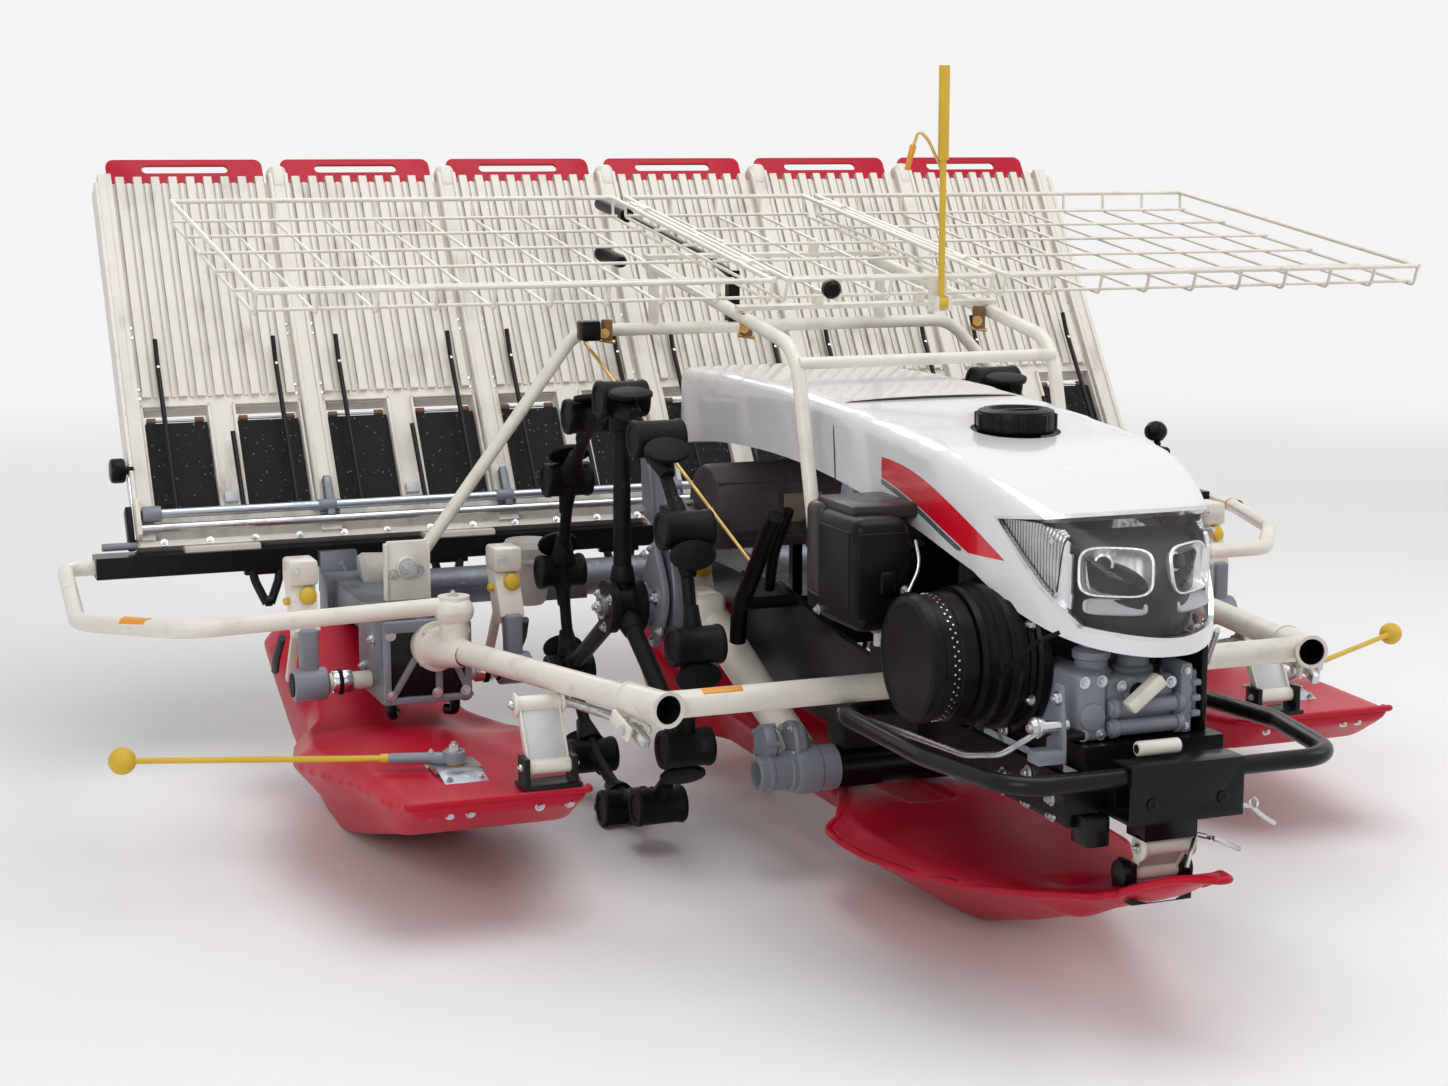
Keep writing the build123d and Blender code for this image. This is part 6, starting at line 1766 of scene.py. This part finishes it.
# -------------------- markers and controls
class MakeMarkers(bpy.types.Operator):
    """Makes the marker pivots, the sighting pole's hook and the main lever's handle"""

    bl_idname = "transplanter.markers"
    bl_label = "Markers and controls"

    def execute(self, context):
        self.hats()
        self.socket(-1, "right", 19.0)
        self.socket(1, "left", 31.0)
        lever = Form("black_plastic")
        lever.lathe(mm_pairs((0, 0), (9, 4), (12, 16), (11, 90), (15, 98), (15, 112), (9, 118), (0, 119)),
                    (-0.06, 0.655, 0.79), (0, 0.97, 0.1), 28)
        lever.finish("lever_grip")
        hook = Form("brass_rod")
        hook.tube([(0.066, -0.315, 0.96), (0.048, -0.31, 1.000), (0.036, -0.305, 1.012),
                   (0.03, -0.302, 0.99)], 0.0022, 8)
        tip = ((0.03, -0.302, 0.992), (0.022, -0.299, 0.958))
        hook.use("orange_sticker").rod(*tip, 0.0048, 0.0036, sides=14, edge=0.001)
        hook.finish("pole_hook", body="sighting_pole")
        return {"FINISHED"}

    def hats(self):
        """The steel plates under the row markers' pivots, with their bolts."""
        hat = Form("steel_bar")
        y = MARKER[1]
        for x in (-MARKER[0], MARKER[0]):
            hat.use("steel_bar")
            hat.box((x - 0.027, y - 0.029, 0.186), (x + 0.027, y + 0.025, 0.1938), 0.002)
            apron = placed((x, y - 0.044, 0.1885), (0, -0.2, 0.98), (0, 1, 0))
            hat.box((-0.029, -0.02, -0.0015), (0.029, 0.02, 0.0015), 0.001, apron)
            hat.box((x - 0.031, y + 0.023, 0.185), (x + 0.031, y + 0.047, 0.188), 0.001)
            hat.use("plated_steel")
            for dx in (-0.021, 0.021):
                hat.bolt((x + dx, y - 0.054, 0.1872), (0, -0.2, 1), 0.0044)
                hat.bolt((x + dx, y + 0.035, 0.187), UP, 0.0044)
            hat.bolt((x, y, 0.2135), UP, 0.0075)
        hat.finish("marker_hats")

    def socket(self, side, name, swing):
        """The casting that turns with a row marker, which rests at swing degrees from straight out."""
        socket = Form("slate_paint")
        out = Vector((side * cos(radians(swing)), sin(radians(swing)), 0))
        start = Vector((side * MARKER[0], *MARKER[1:]))
        up = Vector(UP)
        socket.rod(start + out * 0.012, start + out * 0.086, 0.0082, 0.0068, edge=0.001)
        socket.rod(start - up * 0.0055, start + up * 0.0105, 0.015, sides=28, edge=0.002)
        socket.use("plated_steel").bolt(start + out * 0.03 + up * 0.007, up, 0.0036)
        socket.finish(f"marker_socket_{name}", body=f"row_marker_{name}")


# -------------------- stage
LAMPS = {  # place, target, width and watts
    "overhead": ((0.3, -0.6, 4.2), (0, 0, 0.2), 3.6, 82),
    "front_left": ((-3.6, -3.8, 2.6), (0, -0.2, 0.4), 2.4, 56),
    "right": ((3.8, -1.6, 2.8), (0, 0, 0.4), 2.4, 32),
    "rear": ((0.6, 4.2, 3.2), (0, 0.4, 0.6), 2.4, 36),
}
EYE = (-1.413, -3.295, 1.000)
EYE_TILT = 9.53  # degrees that the camera looks down
EYE_TURN = 21.3  # degrees that it is turned from +Y towards +X
LENS = 59.84  # millimetres, on a sensor 36 mm wide
SKY_STRENGTH = 0.5
FLOOR_RADIUS = 60.0
FLOOR_FADE = (2.0, 6.5)  # how far out the floor turns into the plain background


class MakeStage(bpy.types.Operator):
    """Sets the floor, the lamps, the background and the camera"""

    bl_idname = "transplanter.stage"
    bl_label = "Stage"

    def execute(self, context):
        colour = (*settings().backdrop, 1.0)
        self.floor(colour)
        self.background(colour)
        for name, (place, target, width, watts) in LAMPS.items():
            self.lamp(name, place, target, width, watts * settings().light)
        self.camera()
        return {"FINISHED"}

    def floor(self, colour):
        """A wide disc that fades into the background away from the machine."""
        bm = bmesh.new()
        bmesh.ops.create_circle(bm, cap_ends=True, segments=96, radius=FLOOR_RADIUS)
        mesh = bpy.data.meshes.new("floor")
        bm.to_mesh(mesh)
        bm.free()
        sheet = Finish("floor_sheet")
        away = (sheet.x * sheet.x + sheet.y * sheet.y) ** 0.5
        near = sheet.blend(sheet.noise(0.8), colour, tint(colour, 0.99))
        sheet.set(base_color=near, roughness=sheet.noise(3.0) * 0.05 + 0.9, specular_ior_level=0.1)
        glow = sheet.node("ShaderNodeEmission", inputs={"Color": colour, "Strength": 1.0})
        mixed = sheet.node("ShaderNodeMixShader", inputs={
            0: away.ramp(*FLOOR_FADE) * sheet.seen(), 1: sheet.shader.outputs["BSDF"], 2: glow.outputs[0]})
        sheet.feed(sheet.output.inputs["Surface"], mixed.outputs[0])
        mesh.materials.append(sheet.material)
        linked("floor", mesh)

    def background(self, colour):
        """The backdrop's colour: full where it is seen, and weaker as light on the machine."""
        world = bpy.data.worlds.new("studio")
        bpy.context.scene.world = world
        world.use_nodes = True
        sky = Nodes(world.node_tree)
        plain, shown = (sky.node("ShaderNodeBackground", inputs={"Color": colour, "Strength": strength})
                        for strength in (SKY_STRENGTH, 1.0))
        mixed = sky.node("ShaderNodeMixShader", inputs={
            0: sky.seen(), 1: plain.outputs[0], 2: shown.outputs[0]})
        sky.node("ShaderNodeOutputWorld", inputs={"Surface": mixed.outputs[0]})

    def lamp(self, name, place, target, width, watts):
        """A round soft lamp at place that points at target."""
        data = bpy.data.lights.new(name, "AREA")
        data.shape = "DISK"
        data.size = width
        data.energy = watts
        lamp = linked(name, data)
        lamp.location = place
        lamp.rotation_euler = (Vector(target) - Vector(place)).to_track_quat("-Z", "Y").to_euler()

    def camera(self):
        """The camera, in front of the machine and to its right."""
        camera = bpy.data.cameras.new("camera")
        camera.sensor_width = 36.0
        camera.lens = LENS
        camera.clip_end = 200.0
        view = linked("camera", camera)
        view.location = EYE
        view.rotation_euler = (radians(90 - EYE_TILT), 0, radians(-EYE_TURN))
        bpy.context.scene.camera = view
        bpy.context.scene.view_settings.view_transform = "Standard"


# -------------------- panel and running
STEPS = (
    MakeFinishes, MakeHood, MakeHeadlight, MakeEngine, MakeWheels, MakeFloats, MakePlanting, MakeBooms,
    MakePlatform, MakeNose, MakeLinkage, MakeRacks, MakeMarkers, MakeStage,
)


class TransplanterPanel(bpy.types.Panel):
    """Lists the steps and the settings"""

    bl_idname = "VIEW3D_PT_transplanter"
    bl_label = "Rice transplanter"
    bl_space_type = "VIEW_3D"
    bl_region_type = "UI"
    bl_category = "Transplanter"

    def draw(self, context):
        for key in TransplanterSettings.__annotations__:
            self.layout.prop(context.scene.transplanter, key)
        for step in STEPS:
            self.layout.operator(step.bl_idname)


def register():
    for item in (TransplanterSettings, *STEPS, TransplanterPanel):
        bpy.utils.register_class(item)
    bpy.types.Scene.transplanter = bpy.props.PointerProperty(type=TransplanterSettings)


def unregister():
    del bpy.types.Scene.transplanter
    for item in (TransplanterPanel, *reversed(STEPS), TransplanterSettings):
        bpy.utils.unregister_class(item)


def main():
    register()
    for step in STEPS:
        getattr(bpy.ops.transplanter, step.bl_idname.split(".")[1])()


if __name__ == "__main__":
    main()
